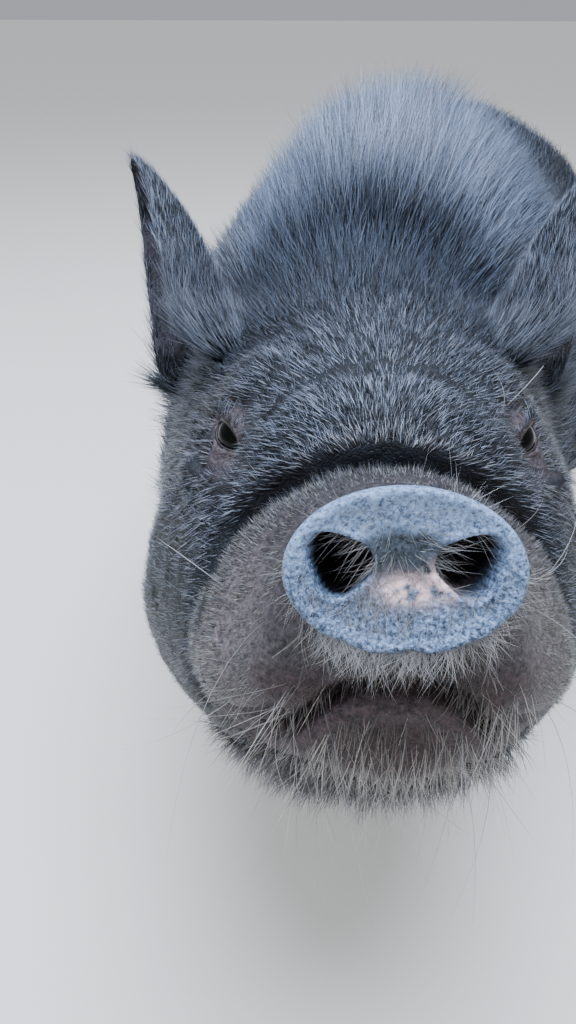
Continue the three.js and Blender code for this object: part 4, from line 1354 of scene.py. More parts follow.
@dataclass
class Skin:
    """One closed skin over trunk, snout, ears, legs and tail."""

    pig: Pig
    columns: int = 280
    nodes: tuple[str, ...] = (
        "head", "lower_jaw", "snout_disc", "neck", "torso", "tail", "ear_left", "ear_right",
    )
    crowds: tuple[Spot, ...] = ((1.6, 0.83, 0.19), (0.5, 1.5, 0.3), (0.7, 2.3, 0.4))
    coarser: tuple[Spot, ...] = ((0.88, 17, 14), (0.8, 40, 50), (9.5, 165, 200))

    def angles(self) -> Array:
        """Angles round the trunk, closer together where the eyes, nostrils and lips are."""
        dense = np.linspace(-math.pi, math.pi, 4001)
        crowd = 1 + sum(more * bell(np.abs(dense) - at, width) for more, at, width in self.crowds)
        total = np.concatenate([[0], np.cumsum((crowd[1:] + crowd[:-1]) / 2)])
        return np.interp(np.arange(self.columns) / self.columns, total / total[-1], dense)

    def places(self) -> Array:
        """Places along the spine: a third of a millimetre apart under the disc, and 10 on the torso."""
        end = self.pig.spine.rump_end
        found = [self.pig.trunk.first]
        while found[-1] < end - 40:
            s = found[-1]
            step = 0.32 + sum(more * smoothstep((s - start) / width) for more, start, width in self.coarser)
            found.append(s + step * (1 - 0.45 * bell(s - 120, 17)))
        close = 1 - np.sin(np.linspace(0.12, 1, 14) * math.pi / 2)
        return np.concatenate([found, end - (end - found[-1]) * close - 1e-3])

    def trunk_points(self) -> Array:
        """Rings of the disc, then of the trunk's finished skin from the snout to the rump."""
        angles, places = self.angles(), self.places()
        s, a = np.meshgrid(places, angles, indexing="ij")
        return np.concatenate([self.pig.snout.points(angles[None]), self.pig.skin(s, a)[0]])

    def join(self, body: Piece, others: list[Piece]) -> None:
        """Unites other closed pieces with the body, one after another."""
        for other in others:
            modifier = body.modifiers.new("unite", "BOOLEAN")
            modifier.operation = "UNION"
            modifier.solver = "MANIFOLD"
            modifier.object = other
            bpy.context.view_layer.objects.active = body
            bpy.ops.object.modifier_apply(modifier=modifier.name)
            bpy.data.objects.remove(other, do_unlink=True)

    def masks(self, skin: Piece) -> None:
        """Marks the disc, muzzle, lips, bores, folds, bare skin round the eyes and ear cups by place; bores,
        folds and the disc's bottom carry painted shade.
        """
        world = points_of(skin)
        local = self.pig.spine.headwise(world)
        x, s, h = local.T
        snout = self.pig.snout
        oval = np.hypot(x / snout.half, h / snout.high)
        face = bell(np.maximum(s - 9, 0), 3.0) * (oval < 1.12)
        middle = bell(np.hypot(x / 19, (h - 5) / 9) + 0.1 * lumps(world, 5, 32), 1.0)
        edge = 0.8 * ramp(s, 2.5, 5) * (oval > 0.85)
        low = ramp(-h, 30, 14) * (1 - ramp(s, 62, 30)) * (np.abs(x) < 100)
        aside = np.abs(x) - 0.5 * np.maximum(h, 0)
        side = ramp(aside, 36, 22) * (1 - ramp(-h, 62, 20))
        reach = np.minimum(np.hypot((x - 1) / 8, (h + 6) / 4), np.hypot((x - 13) / 6, (h + 3) / 4.5))
        depth = ramp(s, 3.6, 4.5) * (snout.bore(x, h) < 1.1) * (s < 34) * (oval < 0.85)
        ring = self.pig.eyes.near(world)
        round_eye = bell(np.maximum(ring - 1, 0), 1.7 + 0.7 * lumps(world, 6, 31)) * (ring < 8)
        relief = self.pig.relief
        lower_lip = path_distance(relief.creases[6].path, relief.samples, x, s, h)
        found = {
            "disc": face,
            # The rim carries the painted sky reflection.
            "rim": face * (1 - ramp(middle, 0.25, 0.4)) * (1 - edge),
            # The disc's dark speckles thicken towards its bottom as painted shade.
            "worn": face * (0.95 - 0.75 * ramp(h, -4, 12)),
            "lip": np.clip(low * (1 - 0.8 * side) - face, 0, 1),
            # Stronger on the muzzle's sides, whose pale mottles are partly painted sheen.
            "muzzle": 0.8 * (1 - ramp(s, 60, 9)) * (s > 14) * (0.35 + 0.65 * side),
            "pink": np.clip(1.4 * bell(reach, 1), 0, 1) * (s < 18),
            # The nostrils' depths are painted near black as shade.
            "bore": depth * (1 - 0.75 * bell(x - 18, 7) * bell(h + 4, 6)),
            # The creases are painted near black as shade.
            "fold": 0.85 * relief.shade(x, s, h),
            # The lower lip's ridge is bare skin, and its paleness there is partly a painted highlight.
            "bare": np.maximum(round_eye, 0.9 * bell(lower_lip, 4)),
            "cup": self.cups(skin, world, h),
        }
        for name, values in found.items():
            set_attribute(skin, name, values)

    def cups(self, skin: Piece, world: Array, h: Array) -> Array:
        """How far each point lies in an ear's cup, by its place and the way it faces.

        Args:
            skin: The finished skin.
            world: Its points.
            h: Their heights over the head's line.

        Returns:
            Shares from 0 to 1.
        """
        flat = np.empty(3 * len(world), dtype=np.float32)
        skin.data.vertex_normals.foreach_get("vector", flat)
        normals = flat.reshape(-1, 3)
        cup = np.zeros(len(world))
        for ear in self.pig.ears.values():
            near = bell(np.linalg.norm(world - ear.middle(), axis=1), 75) > 0.35
            cup = np.maximum(cup, near * ramp(normals @ ear.opening(), -0.1, 0.3) * (h > 84))
        return cup

    def build(self, finish: Finish) -> Piece:
        """The whole skin, dressed, in the place of the fleshy solids."""
        skin = closed_tube("skin", self.trunk_points())
        others = [leg.build() for leg in self.pig.legs]
        others += [ear.build() for ear in self.pig.ears.values()]
        others.append(self.pig.tail.build())
        for piece in [skin, *others]:
            turn_outwards(piece)
        self.join(skin, others)
        skin.data.polygons.foreach_set("use_smooth", np.ones(len(skin.data.polygons), dtype=bool))
        self.masks(skin)
        legs = [f"{leg.limb.value}_leg_{leg.side.name.lower()}" for leg in self.pig.legs]
        dress(skin, finish, [*self.nodes, *legs])
        return skin


@dataclass
class Lids:
    """The rims of the lids, as rounded hoops that lie on the balls along the almonds."""

    eyes: EyeSet
    rows: int = 120
    columns: int = 14
    lift: float = 0.2
    lower: float = 0.9
    upper: float = 1.6

    def build(self, finish: Finish) -> None:
        """Both hoops: a round section stands across the lids' line, thicker on the upper lid."""
        turn = turns(self.rows)
        path = self.eyes.lid_line(turn, self.lift)
        tangent = unit(np.roll(path, -1, axis=0) - np.roll(path, 1, axis=0))
        outward = unit(path)
        across = np.cross(tangent, outward)
        thick = self.lower + (self.upper - self.lower) * ramp(np.sin(turn), -0.3, 0.6)
        section = turns(self.columns)[None, :, None]
        spread = np.cos(section) * outward[:, None] + 1.2 * np.sin(section) * across[:, None]
        grid = path[:, None] + thick[:, None, None] * spread
        closed = tube_faces(self.rows + 1, self.columns) % (self.rows * self.columns)
        for side in Side:
            centre, axes = self.eyes.axes(side)
            points = (centre + grid @ axes).reshape(-1, 3)
            lid = mesh_object("lids_" + side.name.lower(), points, halved(closed))
            turn_outwards(lid)
            dress(lid, finish)


@dataclass
class Eyeballs:
    """The two balls, each with a swollen clear front."""

    eyes: EyeSet
    rows: int = 40
    columns: int = 64

    def build(self, finish: Finish) -> list[Piece]:
        """Both balls, spheres whose front stands 1 mm prouder over the iris."""
        made = []
        for side in Side:
            centre, axes = self.eyes.axes(side)
            polar = np.linspace(0.03, math.pi - 0.03, self.rows)[:, None]
            turn = turns(self.columns)[None]
            radius = self.eyes.radius - 0.3 + 0.8 * bell(polar, 0.6)
            flat = np.sin(polar)
            sphere = (flat * np.cos(turn), flat * np.sin(turn), np.cos(polar))
            local = np.stack(np.broadcast_arrays(*sphere), axis=-1)
            ball = closed_tube("eyeball_" + side.name.lower(), centre + (radius[..., None] * local) @ axes)
            turn_outwards(ball)
            ring = np.arccos(np.clip(unit(self.eyes.local(points_of(ball), side))[:, 2], -1, 1))
            set_attribute(ball, "ring", ring)
            dress(ball, finish, ["eye_" + side.name.lower()])
            made.append(ball)
        return made


@dataclass(frozen=True)
class Patch:
    """A rectangle of the coat's unwrap, with its lowest and highest places each way."""

    u0: float
    u1: float
    v0: float
    v1: float

    def seat(self, p: Array, q: Array) -> Array:
        """Places in the rectangle for shares from 0 to 1 each way."""
        return np.stack([self.u0 + (self.u1 - self.u0) * p, self.v0 + (self.v1 - self.v0) * q], axis=-1)


@dataclass
class Strands:
    """Many bristles as one mesh: three-sided spikes that taper to a point and bend."""

    roots: Array
    start: Array
    bend: Array
    length: Array
    width: Array
    shade: Array
    warm: Array
    seat: Array
    parts: int = 1
    tuft: float = 0.003

    def pick(self, rows: Array) -> "Strands":
        """The bristles of the given rows."""
        names = ("roots", "start", "bend", "length", "width", "shade", "warm", "seat")
        return Strands(*(getattr(self, name)[rows] for name in names), self.parts, self.tuft)

    def build(self, name: str) -> Piece:
        """The joined spikes.

        A spike's middle line is its root plus its length times (start·t + bend·t²). A three-sided
        ring stands at each part, its radius falling as 1 - 0.7t², and the tip closes it.

        Args:
            name: The piece's name.

        Returns:
            The object, with the shade, the place along each spike and its patch of the unwrap.
        """
        count, parts = len(self.roots), self.parts
        side = unit(np.cross(self.start, self.bend + 1e-3 * self.start[:, [1, 2, 0]]))
        face = unit(np.cross(side, self.start))
        steps = np.arange(parts + 1) / parts
        reach = self.start[:, None] * steps[None, :, None] + self.bend[:, None] * (steps**2)[None, :, None]
        line = self.roots[:, None] + self.length[:, None, None] * reach
        turn = TAU * np.arange(3) / 3 + math.pi / 2
        ring = np.cos(turn)[None, :, None] * side[:, None] + np.sin(turn)[None, :, None] * face[:, None]
        radius = (self.width / 2)[:, None, None, None] * (1 - 0.7 * steps[:-1] ** 2)[None, :, None, None]
        body = line[:, :-1, None] + radius * ring[:, None]
        points = np.concatenate([body.reshape(count, -1, 3), line[:, -1:]], axis=1)
        per = 3 * parts + 1
        faces = [[0, 2, 1]]
        for p in range(parts - 1):
            for j in range(3):
                a, b = 3 * p + j, 3 * p + (j + 1) % 3
                faces += [[a, b, b + 3], [a, b + 3, a + 3]]
        last = 3 * (parts - 1)
        faces += [[last + j, last + (j + 1) % 3, per - 1] for j in range(3)]
        every = (np.array(faces)[None] + (per * np.arange(count))[:, None, None]).reshape(-1, 3)
        obj = mesh_object(name, points.reshape(-1, 3), every)
        along = np.append(np.repeat(steps[:-1], 3), 1.0)
        set_attribute(obj, "along", np.tile(along, count))
        set_attribute(obj, "shade", np.repeat(self.shade, per))
        set_attribute(obj, "warm", np.repeat(self.warm, per))
        corner = np.stack([np.append(np.tile([0.0, 0.5, 1.0], parts), 0.5), along], axis=-1) * self.tuft
        uv = (self.seat[:, None] + corner[None]).reshape(-1, 2)
        layer = obj.data.uv_layers.new(name="OFBake")
        layer.data.foreach_set("uv", uv[every.ravel()].astype(np.float32).ravel())
        return obj


@dataclass(frozen=True)
class Course:
    """A measure of the hair along the spine: a base with ramps and bells, each its rise, place and width."""

    base: float
    ramps: tuple[Spot, ...] = ()
    bells: tuple[Spot, ...] = ()

    def __call__(self, s: Array, _: Array) -> Array:
        """The measure at places along the spine, the same all round it."""
        total = self.base + 0.0 * s
        for rise, start, width in self.ramps:
            total += rise * ramp(s, start, width)
        for rise, middle, width in self.bells:
            total += rise * bell(s - middle, width)
        return total


@dataclass
class Growth:
    """One kind of bristle on the trunk: where it grows, how long it is, and how it lies."""

    name: str
    count: int
    density: Callable[[Array, Array], Array]
    length: Callable[[Array, Array], Array]
    stand: Callable[[Array, Array], Array]
    width: float
    parts: int = 1
    pieces: int = 1
    fan: float = 0.0
    curl: float = 0.2
    sag: float = 0.0
    stray: float = 0.16
    clump: float = 0.25
    warm: float = 0.0
    pale: float = 0.0


@dataclass
class Coat:
    """The coat: short hair on the face, bristles on the body, and the long standing crest."""

    pig: Pig
    dark: Finish
    light: Finish
    seed: int = 4107
    grid: tuple[int, int] = (460, 260)
    trunk_patch: Patch = Patch(0.02, 0.72, 0.02, 0.97)
    disc_patch: Patch = Patch(0.87, 0.97, 0.87, 0.97)
    tail_patch: Patch = Patch(0.75, 0.84, 0.76, 0.97)
    rng: np.random.Generator = field(init=False)

    def __post_init__(self) -> None:
        """Seeds the random numbers."""
        self.rng = np.random.default_rng(self.seed)

    def scatter(self, growth: Growth) -> tuple[Array, Array]:
        """Roots strewn over the trunk, as many to an area as the growth's density asks.

        Args:
            growth: The kind of bristle.

        Returns:
            Places along the spine and angles round it.
        """
        rows, columns = self.grid
        first, end = self.pig.trunk.first + 0.6, self.pig.spine.rump_end - 1
        edge_s = first + (end - first) * np.linspace(0, 1, rows + 1) ** 2.2
        edge_a = np.linspace(-math.pi, math.pi, columns + 1)
        here = self.pig.trunk.point(*np.meshgrid(edge_s, edge_a, indexing="ij"))
        down, over = np.diff(here, axis=0)[:, :-1], np.diff(here, axis=1)[:-1]
        area = np.linalg.norm(np.cross(down, over), axis=-1)
        middle = np.meshgrid((edge_s[1:] + edge_s[:-1]) / 2, (edge_a[1:] + edge_a[:-1]) / 2, indexing="ij")
        weight = (area * growth.density(*middle)).ravel()
        cell = self.rng.choice(weight.size, growth.count, p=weight / weight.sum())
        i, j = np.divmod(cell, columns)
        s = edge_s[i] + self.rng.random(growth.count) * (edge_s[i + 1] - edge_s[i])
        return s, edge_a[j] + self.rng.random(growth.count) * (TAU / columns)

    def free(self, roots: Array) -> Array:
        """True for roots that aren't in an eye's opening or inside a leg."""
        keep = self.pig.eyes.near(roots) > 1.75
        for leg in self.pig.legs:
            for c, a, b in zip(*leg.section(np.linspace(0, 0.5, 12))):
                inside = np.hypot((roots[:, 0] - c[0]) / (a - 4), (roots[:, 1] - c[1]) / (b - 4)) < 1
                keep &= ~(inside & (np.abs(roots[:, 2] - c[2]) < 8))
        return keep

    def strands(self, growth: Growth, roots: Array, ways: tuple[Array, Array, Array], seat: Array) -> Strands:
        """Bristles at given roots.

        A bristle starts along a mix of out, back and across. Noise over the skin turns whole clumps,
        a normal spread turns each bristle, and its bend lays it back and lets it sag.

        Args:
            growth: The kind of bristle, whose length and stand are filled in for these roots.
            roots: Points on the skin.
            ways: Outward, backward and sideways unit vectors.
            seat: Places on the unwrap.

        Returns:
            The bristles, with no length yet.
        """
        out, back, across = ways
        count = len(roots)
        stray = growth.stray * self.rng.normal(size=(count, 2))
        turn = (stray[:, 0] + growth.clump * (lumps(roots, 13, 11) + 0.5 * lumps(roots, 4.5, 15)))[:, None]
        tip = (0.5 * stray[:, 1] + 0.4 * growth.clump * lumps(roots, 11, 12))[:, None]
        lie = unit(back + turn * across)
        stand = growth.stand[:, None]
        start = unit(out * (stand + tip) + lie * np.sqrt(np.maximum(0.05, 1 - stand**2)))
        bend = growth.curl * (0.5 + self.rng.random((count, 1))) * (lie - out * stand)
        bend += growth.curl * 0.5 * self.rng.normal(size=(count, 1)) * across
        bend[:, 2] -= growth.sag * (0.6 + 0.8 * self.rng.random(count))
        draw, lit = self.rng.random((2, count))
        shade = np.where(draw < 0.6 - 0.5 * growth.pale, 0.06 * lit, 0.35 + 0.65 * lit)
        shade = shade + (1 - shade) * 0.7 * growth.pale * self.rng.random(count)
        shade *= 0.72 + 0.36 * lumps(roots, 2.6, 13) + 0.12 * lumps(roots, 17, 14)
        shade = np.clip(shade, 0, 1)
        warm = np.clip(growth.warm + 0.15 * self.rng.normal(size=count), 0, 1)
        width = growth.width * (0.75 + 0.5 * self.rng.random(count))
        length = growth.length * (0.65 + 0.6 * self.rng.random(count))
        return Strands(roots - 0.6 * out, start, bend, length, width, shade, warm, seat, growth.parts)

    def tone(self, s: Array, angle: Array) -> Array:
        """How much of the black hair's pale tip, a painted sky reflection, shows: full on muzzle, crest and
        back, less on the poll, and dimmed as painted shade on the body's sides, lip wall, chin and throat.
        """
        low = ramp(-np.cos(angle), 0.15, 0.45)
        wall = low * (1 - ramp(s, 18, 4))
        poll = ramp(s, 110, 60) * (1 - ramp(s, 240, 60))
        poll = poll * ramp(np.cos(angle), 0.1, 0.4)
        body = ramp(s, 300, 120) * ramp(np.abs(angle), 0.45, 0.4)
        return np.clip(1 - 0.82 * low - 0.16 * wall - 0.35 * poll - 0.5 * body, 0.05, 1)

    def plant(self, strands: Strands, name: str, pieces: int, finish: Finish) -> None:
        """Builds bristles as the given number of pieces, dealt among them at random.
        Builds bristles as a few pieces, each under the limit for one piece.
        """
        order = self.rng.permutation(len(strands.roots))
        for number, rows in enumerate(np.array_split(order, pieces)):
            dress(strands.pick(rows).build(f"{name}_{number + 1}"), finish)

    def sprout(
        self, growth: Growth, roots: Array, out: Array, lie: Array, seat: Array, finish: Finish
    ) -> None:
        """Grows one kind of bristle, in one piece, at given roots.

        Args:
            growth: The kind of bristle.
            roots: Points on the skin.
            out: Directions out of the skin.
            lie: Directions that the bristles are laid in.
            seat: Places on the unwrap.
            finish: The bristles' finish.
        """
        strands = self.strands(growth, roots, (out, lie, np.cross(lie, out)), seat)
        self.plant(strands, growth.name, 1, finish)

    def grow(self, growth: Growth, finish: Finish) -> None:
        """Grows one kind of bristle over the trunk."""
        s, angle = self.scatter(growth)
        roots, out, back, across = self.pig.skin(s, angle)
        keep = self.free(roots)
        s, angle, roots, out, back, across = (v[keep] for v in (s, angle, roots, out, back, across))
        swirl = growth.fan * (0.45 + 1.5 * bell(s - 84, 30)) * np.tanh(angle / 0.5)
        lie = unit(back + swirl[:, None] * across)
        seat = self.trunk_patch.seat(s / self.pig.spine.rump_end, np.mod(angle + math.pi, TAU) / TAU)
        here = replace(growth, length=growth.length(s, angle), stand=growth.stand(s, angle))
        strands = self.strands(here, roots, (out, lie, np.cross(lie, out)), seat)
        # Hair in the creases is darkened as painted shade.
        x, place, h = self.pig.trunk.straight(s, angle)
        strands.shade *= 1 - 0.9 * self.pig.relief.shade(x, place, h)
        # Black hair is dimmed as painted shade underneath and on the body's sides by tone().
        if finish is self.dark:
            strands.shade *= self.tone(s, angle)
        else:
            # Pale hair on the wall under the disc is darkened as painted shade, all but about one in eight.
            wall = ramp(-np.cos(angle), 0.4, 0.3) * (1 - ramp(s, 18, 4))
            strands.shade *= 1 - 0.85 * wall * (self.rng.random(len(s)) > 0.12)
        # The crest's tips are dimmer at the poll and paler further back, as painted sky light on the crest's
        # top.
        if growth.name == "crest_bristles":
            strands.shade *= 0.55 + 0.45 * ramp(s, 200, 130)
        muzzle = (1 - ramp(s, 62, 14)) + 0.6 * bell(self.pig.eyes.near(roots) - 1, 2.2)
        strands.warm = np.clip(strands.warm + 0.8 * muzzle * (growth.warm < 0.5), 0, 1)
        self.plant(strands, growth.name, growth.pieces, finish)

    def kinds(self) -> list[tuple[Growth, Finish]]:
        """The kinds of bristle on the trunk, from the short hair of the muzzle to the crest."""
        trunk = self.pig.trunk

        def muzzle_density(s: Array, a: Array) -> Array:
            """Short hair between the disc and the folds behind the muzzle, thin on the lips."""
            upper = 0.03 + 0.97 * ramp(np.cos(a), -0.6, 0.4)
            return ramp(s, 13, 3) * (1 - ramp(s, 62, 14)) * upper

        def frost_density(s: Array, a: Array) -> Array:
            """The muzzle's pale hair, thicker at its sides and thin under the disc."""
            side = 0.45 + 0.55 * ramp(np.abs(a), 0.7, 0.6)
            return muzzle_density(s, a) * side * ramp(np.cos(a), -0.45, 0.4)

        def face_density(s: Array, a: Array) -> Array:
            """Hair of the face and cheeks to the neck."""
            return ramp(s, 56, 14) * (1 - ramp(s, 235, 60)) * (0.6 + 0.4 * (np.cos(a) > -0.7))

        def brow_density(s: Array, a: Array) -> Array:
            """Longer hair over the forehead and poll, to the ears."""
            return ramp(s, 58, 8) * (1 - ramp(s, 280, 40)) * ramp(np.cos(a), 0.25, 0.3)

        def brow_length(s: Array, a: Array) -> Array:
            """From 6.5 mm over the snout to 24 at the poll, and longer still beside the crest."""
            beside = bell(np.abs(a) - 0.75, 0.3) * ramp(s, 190, 50)
            return 6.5 + 18 * ramp(s, 80, 140) + 13 * beside

        def body_density(s: Array, a: Array) -> Array:
            """Bristles over the whole body, thinner under the belly."""
            return ramp(s, 200, 60) * (0.5 + 0.5 * ramp(np.cos(a), -0.8, 1.2))

        def crest_density(s: Array, a: Array) -> Array:
            """The crest, as thick as it is high."""
            return (trunk.crest(s, a) / trunk.crest_high) ** 0.7 * (0.35 + 0.65 * (1 - ramp(s, 340, 280)))

        def crest_length(s: Array, a: Array) -> Array:
            """A little over the crest's height, so that leaning tips reach it."""
            return 14 + 1.12 * trunk.crest(s, a)

        def crest_stand(s: Array, a: Array) -> Array:
            """Upright at the poll and shoulders, and laid back towards the rump."""
            return 0.9 - 0.42 * ramp(s, 400, 350) - 0.12 * (1 - trunk.crest(s, a) / trunk.crest_high)

        def fringe_density(s: Array, a: Array) -> Array:
            """The dark fringe under the chin and along the throat."""
            return ramp(-np.cos(a), 0.6, 0.2) * ramp(s, 32, 10) * (1 - ramp(s, 120, 60))

        def chin_density(s: Array, a: Array) -> Array:
            """The pale hair that hangs over the lower lip and the chin, thin on the wall under the disc."""
            low = ramp(-np.cos(a), 0.6, 0.25)
            return low * (0.12 + 0.88 * ramp(s, 17, 2)) * ramp(s, 14, 2) * (1 - ramp(s, 34, 18))

        def lip_density(s: Array, a: Array) -> Array:
            """Longer curling hair at the corners of the lips, below the disc."""
            corner = 0.25 + bell(np.abs(a) - 2.25, 0.3) * np.where(a > 0, 1, 0.3)
            return corner * ramp(-np.cos(a), 0.1, 0.3) * ramp(s, 14, 2) * (1 - ramp(s, 22, 12))

        # Real bristles are 0.1 to 0.3 mm thick, too fine to show, so most are drawn wider.
        laid = Course(0.32, (), ((0.3, 68, 14), (0.3, 232, 18)))
        raised = Course(0.3, ((0.38, 130, 90),), ((0.4, 69, 13),))
        hanging = Course(0.5, ((-0.34, 17, 6),))
        near_disc = Course(3.4, ((2.6, 20, 45),))
        short = ("muzzle_hair", 9000, muzzle_density, near_disc, laid, 0.4)
        frost = ("muzzle_frost", 9000, frost_density, near_disc, laid, 0.46)
        face = ("face_hair", 42000, face_density, Course(6, ((9, 90, 140),)), laid, 0.44)
        brow = ("brow_hair", 29000, brow_density, brow_length, raised, 0.42)
        body = ("body_bristles", 46000, body_density, Course(20), laid, 0.7)
        crest = ("crest_bristles", 36000, crest_density, crest_length, crest_stand, 0.46)
        fringe = ("throat_fringe", 4200, fringe_density, Course(14, ((12, 40, 80),)), raised, 0.36)
        chin = ("chin_hair", 520, chin_density, Course(7, ((8, 16, 6),)), hanging, 0.2)
        lip = ("lip_hair", 380, lip_density, Course(10, ((14, 16, 8),)), hanging, 0.2)
        return [
            (Growth(*short, clump=0.12, stray=0.12, pale=0.5), self.dark),
            (Growth(*frost, clump=0.12, stray=0.12, warm=0.5, pale=0.2), self.light),
            (Growth(*face, pieces=2, fan=0.15, stray=0.1, clump=0.16, warm=0.5, pale=0.4), self.dark),
            (Growth(*brow, 2, 2, fan=0.9, stray=0.07, clump=0.12, warm=0.45, pale=0.22), self.dark),
            (Growth(*body, pale=0.1), self.dark),
            (Growth(*crest, 2, 2, fan=0.12, curl=0.24, stray=0.13, warm=0.12, pale=0.4), self.dark),
            (Growth(*fringe, parts=2, sag=0.4), self.dark),
            (Growth(*chin, 4, curl=0.3, sag=0.12, stray=0.14, clump=0.3, warm=0.7, pale=0.8), self.light),
            (Growth(*lip, 6, curl=0.9, sag=0.5, stray=0.4, clump=0.6, warm=0.6, pale=1.0), self.light),
        ]

    def grow_disc(self, tries: int = 9000) -> None:
        """Fine pale hair that curls over the disc's face, thicker on its lower half."""
        snout = self.pig.snout
        x, h = self.rng.uniform(-1, 1, (2, tries))
        low = 0.22 + 0.5 * smoothstep((0.45 - h) / 0.5)
        keep = (np.hypot(x, h) < 0.84 + 0.14 * (h < -0.6)) & (self.rng.random(tries) < low)
        x, h = x[keep] * snout.half, h[keep] * snout.high
        clear = snout.bore(x, h) > 1.05
        x, h = x[clear], h[clear]
        roots, out = snout.frames(x, h)
        head = self.pig.spine.axes[0]
        aside = x / snout.half + 0.4 * lumps(roots, 7, 21)
        up = h / snout.high - 0.5 + 0.4 * lumps(roots, 7, 22)
        lie = unit(aside[:, None] * head[0] + up[:, None] * head[2] + 0.01 * out)
        count = len(x)
        stand = 0.35 + 0.2 * self.rng.random(count)
        look = {"curl": 1.2, "sag": 0.1, "stray": 0.6, "clump": 0.9, "warm": 0.2, "pale": 0.9}
        growth = Growth("disc_hair", count, None, np.full(count, 7.0), stand, 0.12, parts=4, **look)
        seat = self.disc_patch.seat(x / snout.half / 2 + 0.5, h / snout.high / 2 + 0.5)
        self.sprout(growth, roots, out, lie, seat, self.light)

    def grow_whiskers(self, count: int = 30) -> None:
        """Long pale whiskers round the muzzle, over the eyes and on the cheeks, arching out and down."""
        side = np.where(np.arange(count) % 2 == 0, 1, -1)
        kind = np.array([0, 0, 2, 1, 2])[np.arange(count) // 2 % 5]
        middle, spread = np.array([(34.0, 12.0), (108.0, 10.0), (28.0, 5.0)])[kind].T
        s = np.maximum(middle + self.rng.normal(size=count) * spread, 16)
        middle, spread = np.array([(1.2, 0.4), (0.72, 0.08), (2.35, 0.25)])[kind].T
        angle = side * (middle + self.rng.normal(size=count) * spread)
        roots, out, back, across = self.pig.skin(s, angle)
        keep = self.pig.eyes.near(roots) > 1.8
        s, angle, roots, out, back, across = (v[keep] for v in (s, angle, roots, out, back, across))
        count = len(s)
        length = np.where(np.abs(s - 108) < 25, 24, 40) + 24 * self.rng.random(count)
        look = {"curl": 0.5, "sag": 0.3, "stray": 0.35, "clump": 0.0, "warm": 0.3, "pale": 0.95}
        growth = Growth("whiskers", count, None, length, np.full(count, 0.7), 0.34, parts=8, **look)
        seat = self.trunk_patch.seat(s / self.pig.spine.rump_end, np.mod(angle + math.pi, TAU) / TAU)
        self.plant(self.strands(growth, roots, (out, back, across), seat), growth.name, 1, self.light)

    def grow_ears(self, tries: int = 10500) -> None:
        """Hair over the back of each ear, longer round the rim, and a thin down in the cup."""
        for number, (side, ear) in enumerate(self.pig.ears.items()):
            count = tries
            v = self.rng.uniform(-0.55, 0.985, count)
            w = np.sin(self.rng.uniform(-1, 1, count) * math.pi / 2)
            keep = self.rng.random(count) < (1 - np.maximum(v, 0)) ** 0.7 + 0.15
            v, w = v[keep], w[keep]
            count = len(v)
            face = np.where(self.rng.random(count) < 0.82, 1.0, -1.0)
            roots, out, along = ear.frames(v, w, face)
            length = (7 + 5 * np.abs(w) ** 3 + 11 * (1 - smoothstep(v / 0.45))) * np.where(face > 0, 1, 0.5)
            name = f"ear_hair_{side.name.lower()}"
            growth = Growth(name, count, None, length, np.full(count, 0.4), 0.4, warm=0.4, pale=0.3)
            patch = Patch(0.75, 0.84, 0.5 + 0.13 * number, 0.61 + 0.13 * number)
            seat = patch.seat(np.clip(v, 0, 1), w / 2 + 0.5)
            strands = self.strands(growth, roots, (out, along, np.cross(along, out)), seat)
            # The ear hair's pale tips fade towards the ear's root, as painted shade where the ear meets the
            # head.
            strands.shade *= 0.5 + 0.5 * smoothstep(v / 0.6)
            self.plant(strands, growth.name, 1, self.dark)

    def grow_legs(self, count: int = 4600) -> None:
        """Short hair down each leg to the claws."""
        for number, leg in enumerate(self.pig.legs):
            t = 0.12 + 0.86 * self.rng.random(count) ** 0.8
            angle = self.rng.uniform(0, TAU, count)
            roots = leg.point(t, angle, leg.inset)
            out = unit(leg.point(t, angle, leg.inset - 1) - roots)
            down = unit(leg.point(t + 0.01, angle, leg.inset) - roots)
            length = 13 - 6 * ramp(t, 0.3, 0.4) + 3 * ramp(t, 0.9, 0.1)
            growth = Growth(f"leg_hair_{leg.name()}", count, None, length, np.full(count, 0.3), 0.5)
            patch = Patch(0.75, 0.97, 0.03 + 0.11 * number, 0.12 + 0.11 * number)
            self.sprout(growth, roots, out, down, patch.seat(t, angle / TAU), self.dark)

    def grow_tail(self, count: int = 2600) -> None:
        """Hair along the tail, and the long switch at its tip."""
        switch = self.rng.random(count) < 0.45
        t = np.where(switch, self.rng.uniform(0.85, 1, count), self.rng.uniform(0.1, 1, count))
        angle = self.rng.uniform(0, TAU, count)
        roots, out, along = self.pig.tail.frames(t, angle)
        length = 9 + 26 * ramp(t, 0.8, 0.2)
        growth = Growth("tail_hair", count, None, length, np.full(count, 0.25), 0.5, 2)
        self.sprout(growth, roots, out, along, self.tail_patch.seat(t, angle / TAU), self.dark)

    def grow_lashes(self, count: int = 70) -> None:
        """Dark lashes along each upper lid, curling up and out."""
        eyes = self.pig.eyes
        for side in Side:
            centre, axes = eyes.axes(side)
            turn = self.rng.uniform(0.25, math.pi - 0.25, count)
            roots = centre + eyes.lid_line(turn, 1.6) @ axes
            out = np.repeat(axes[2][None], count, axis=0)
            lie = unit(np.stack([0.5 * np.cos(turn), np.ones(count), 0 * turn], axis=-1) @ axes)
            name = f"lashes_{side.name.lower()}"
            growth = Growth(name, count, None, np.full(count, 7.5), np.full(count, 0.75), 0.3, 3, curl=0.6)
            seat = self.trunk_patch.seat(np.full(count, 0.12), turn / math.pi)
            self.sprout(growth, roots, out, lie, seat, self.dark)

    def build(self) -> None:
        """Grows every kind of bristle."""
        for growth, finish in self.kinds():
            self.grow(growth, finish)
        self.grow_disc()
        self.grow_whiskers()
        self.grow_lashes()
        self.grow_ears()
        self.grow_legs()
        self.grow_tail()


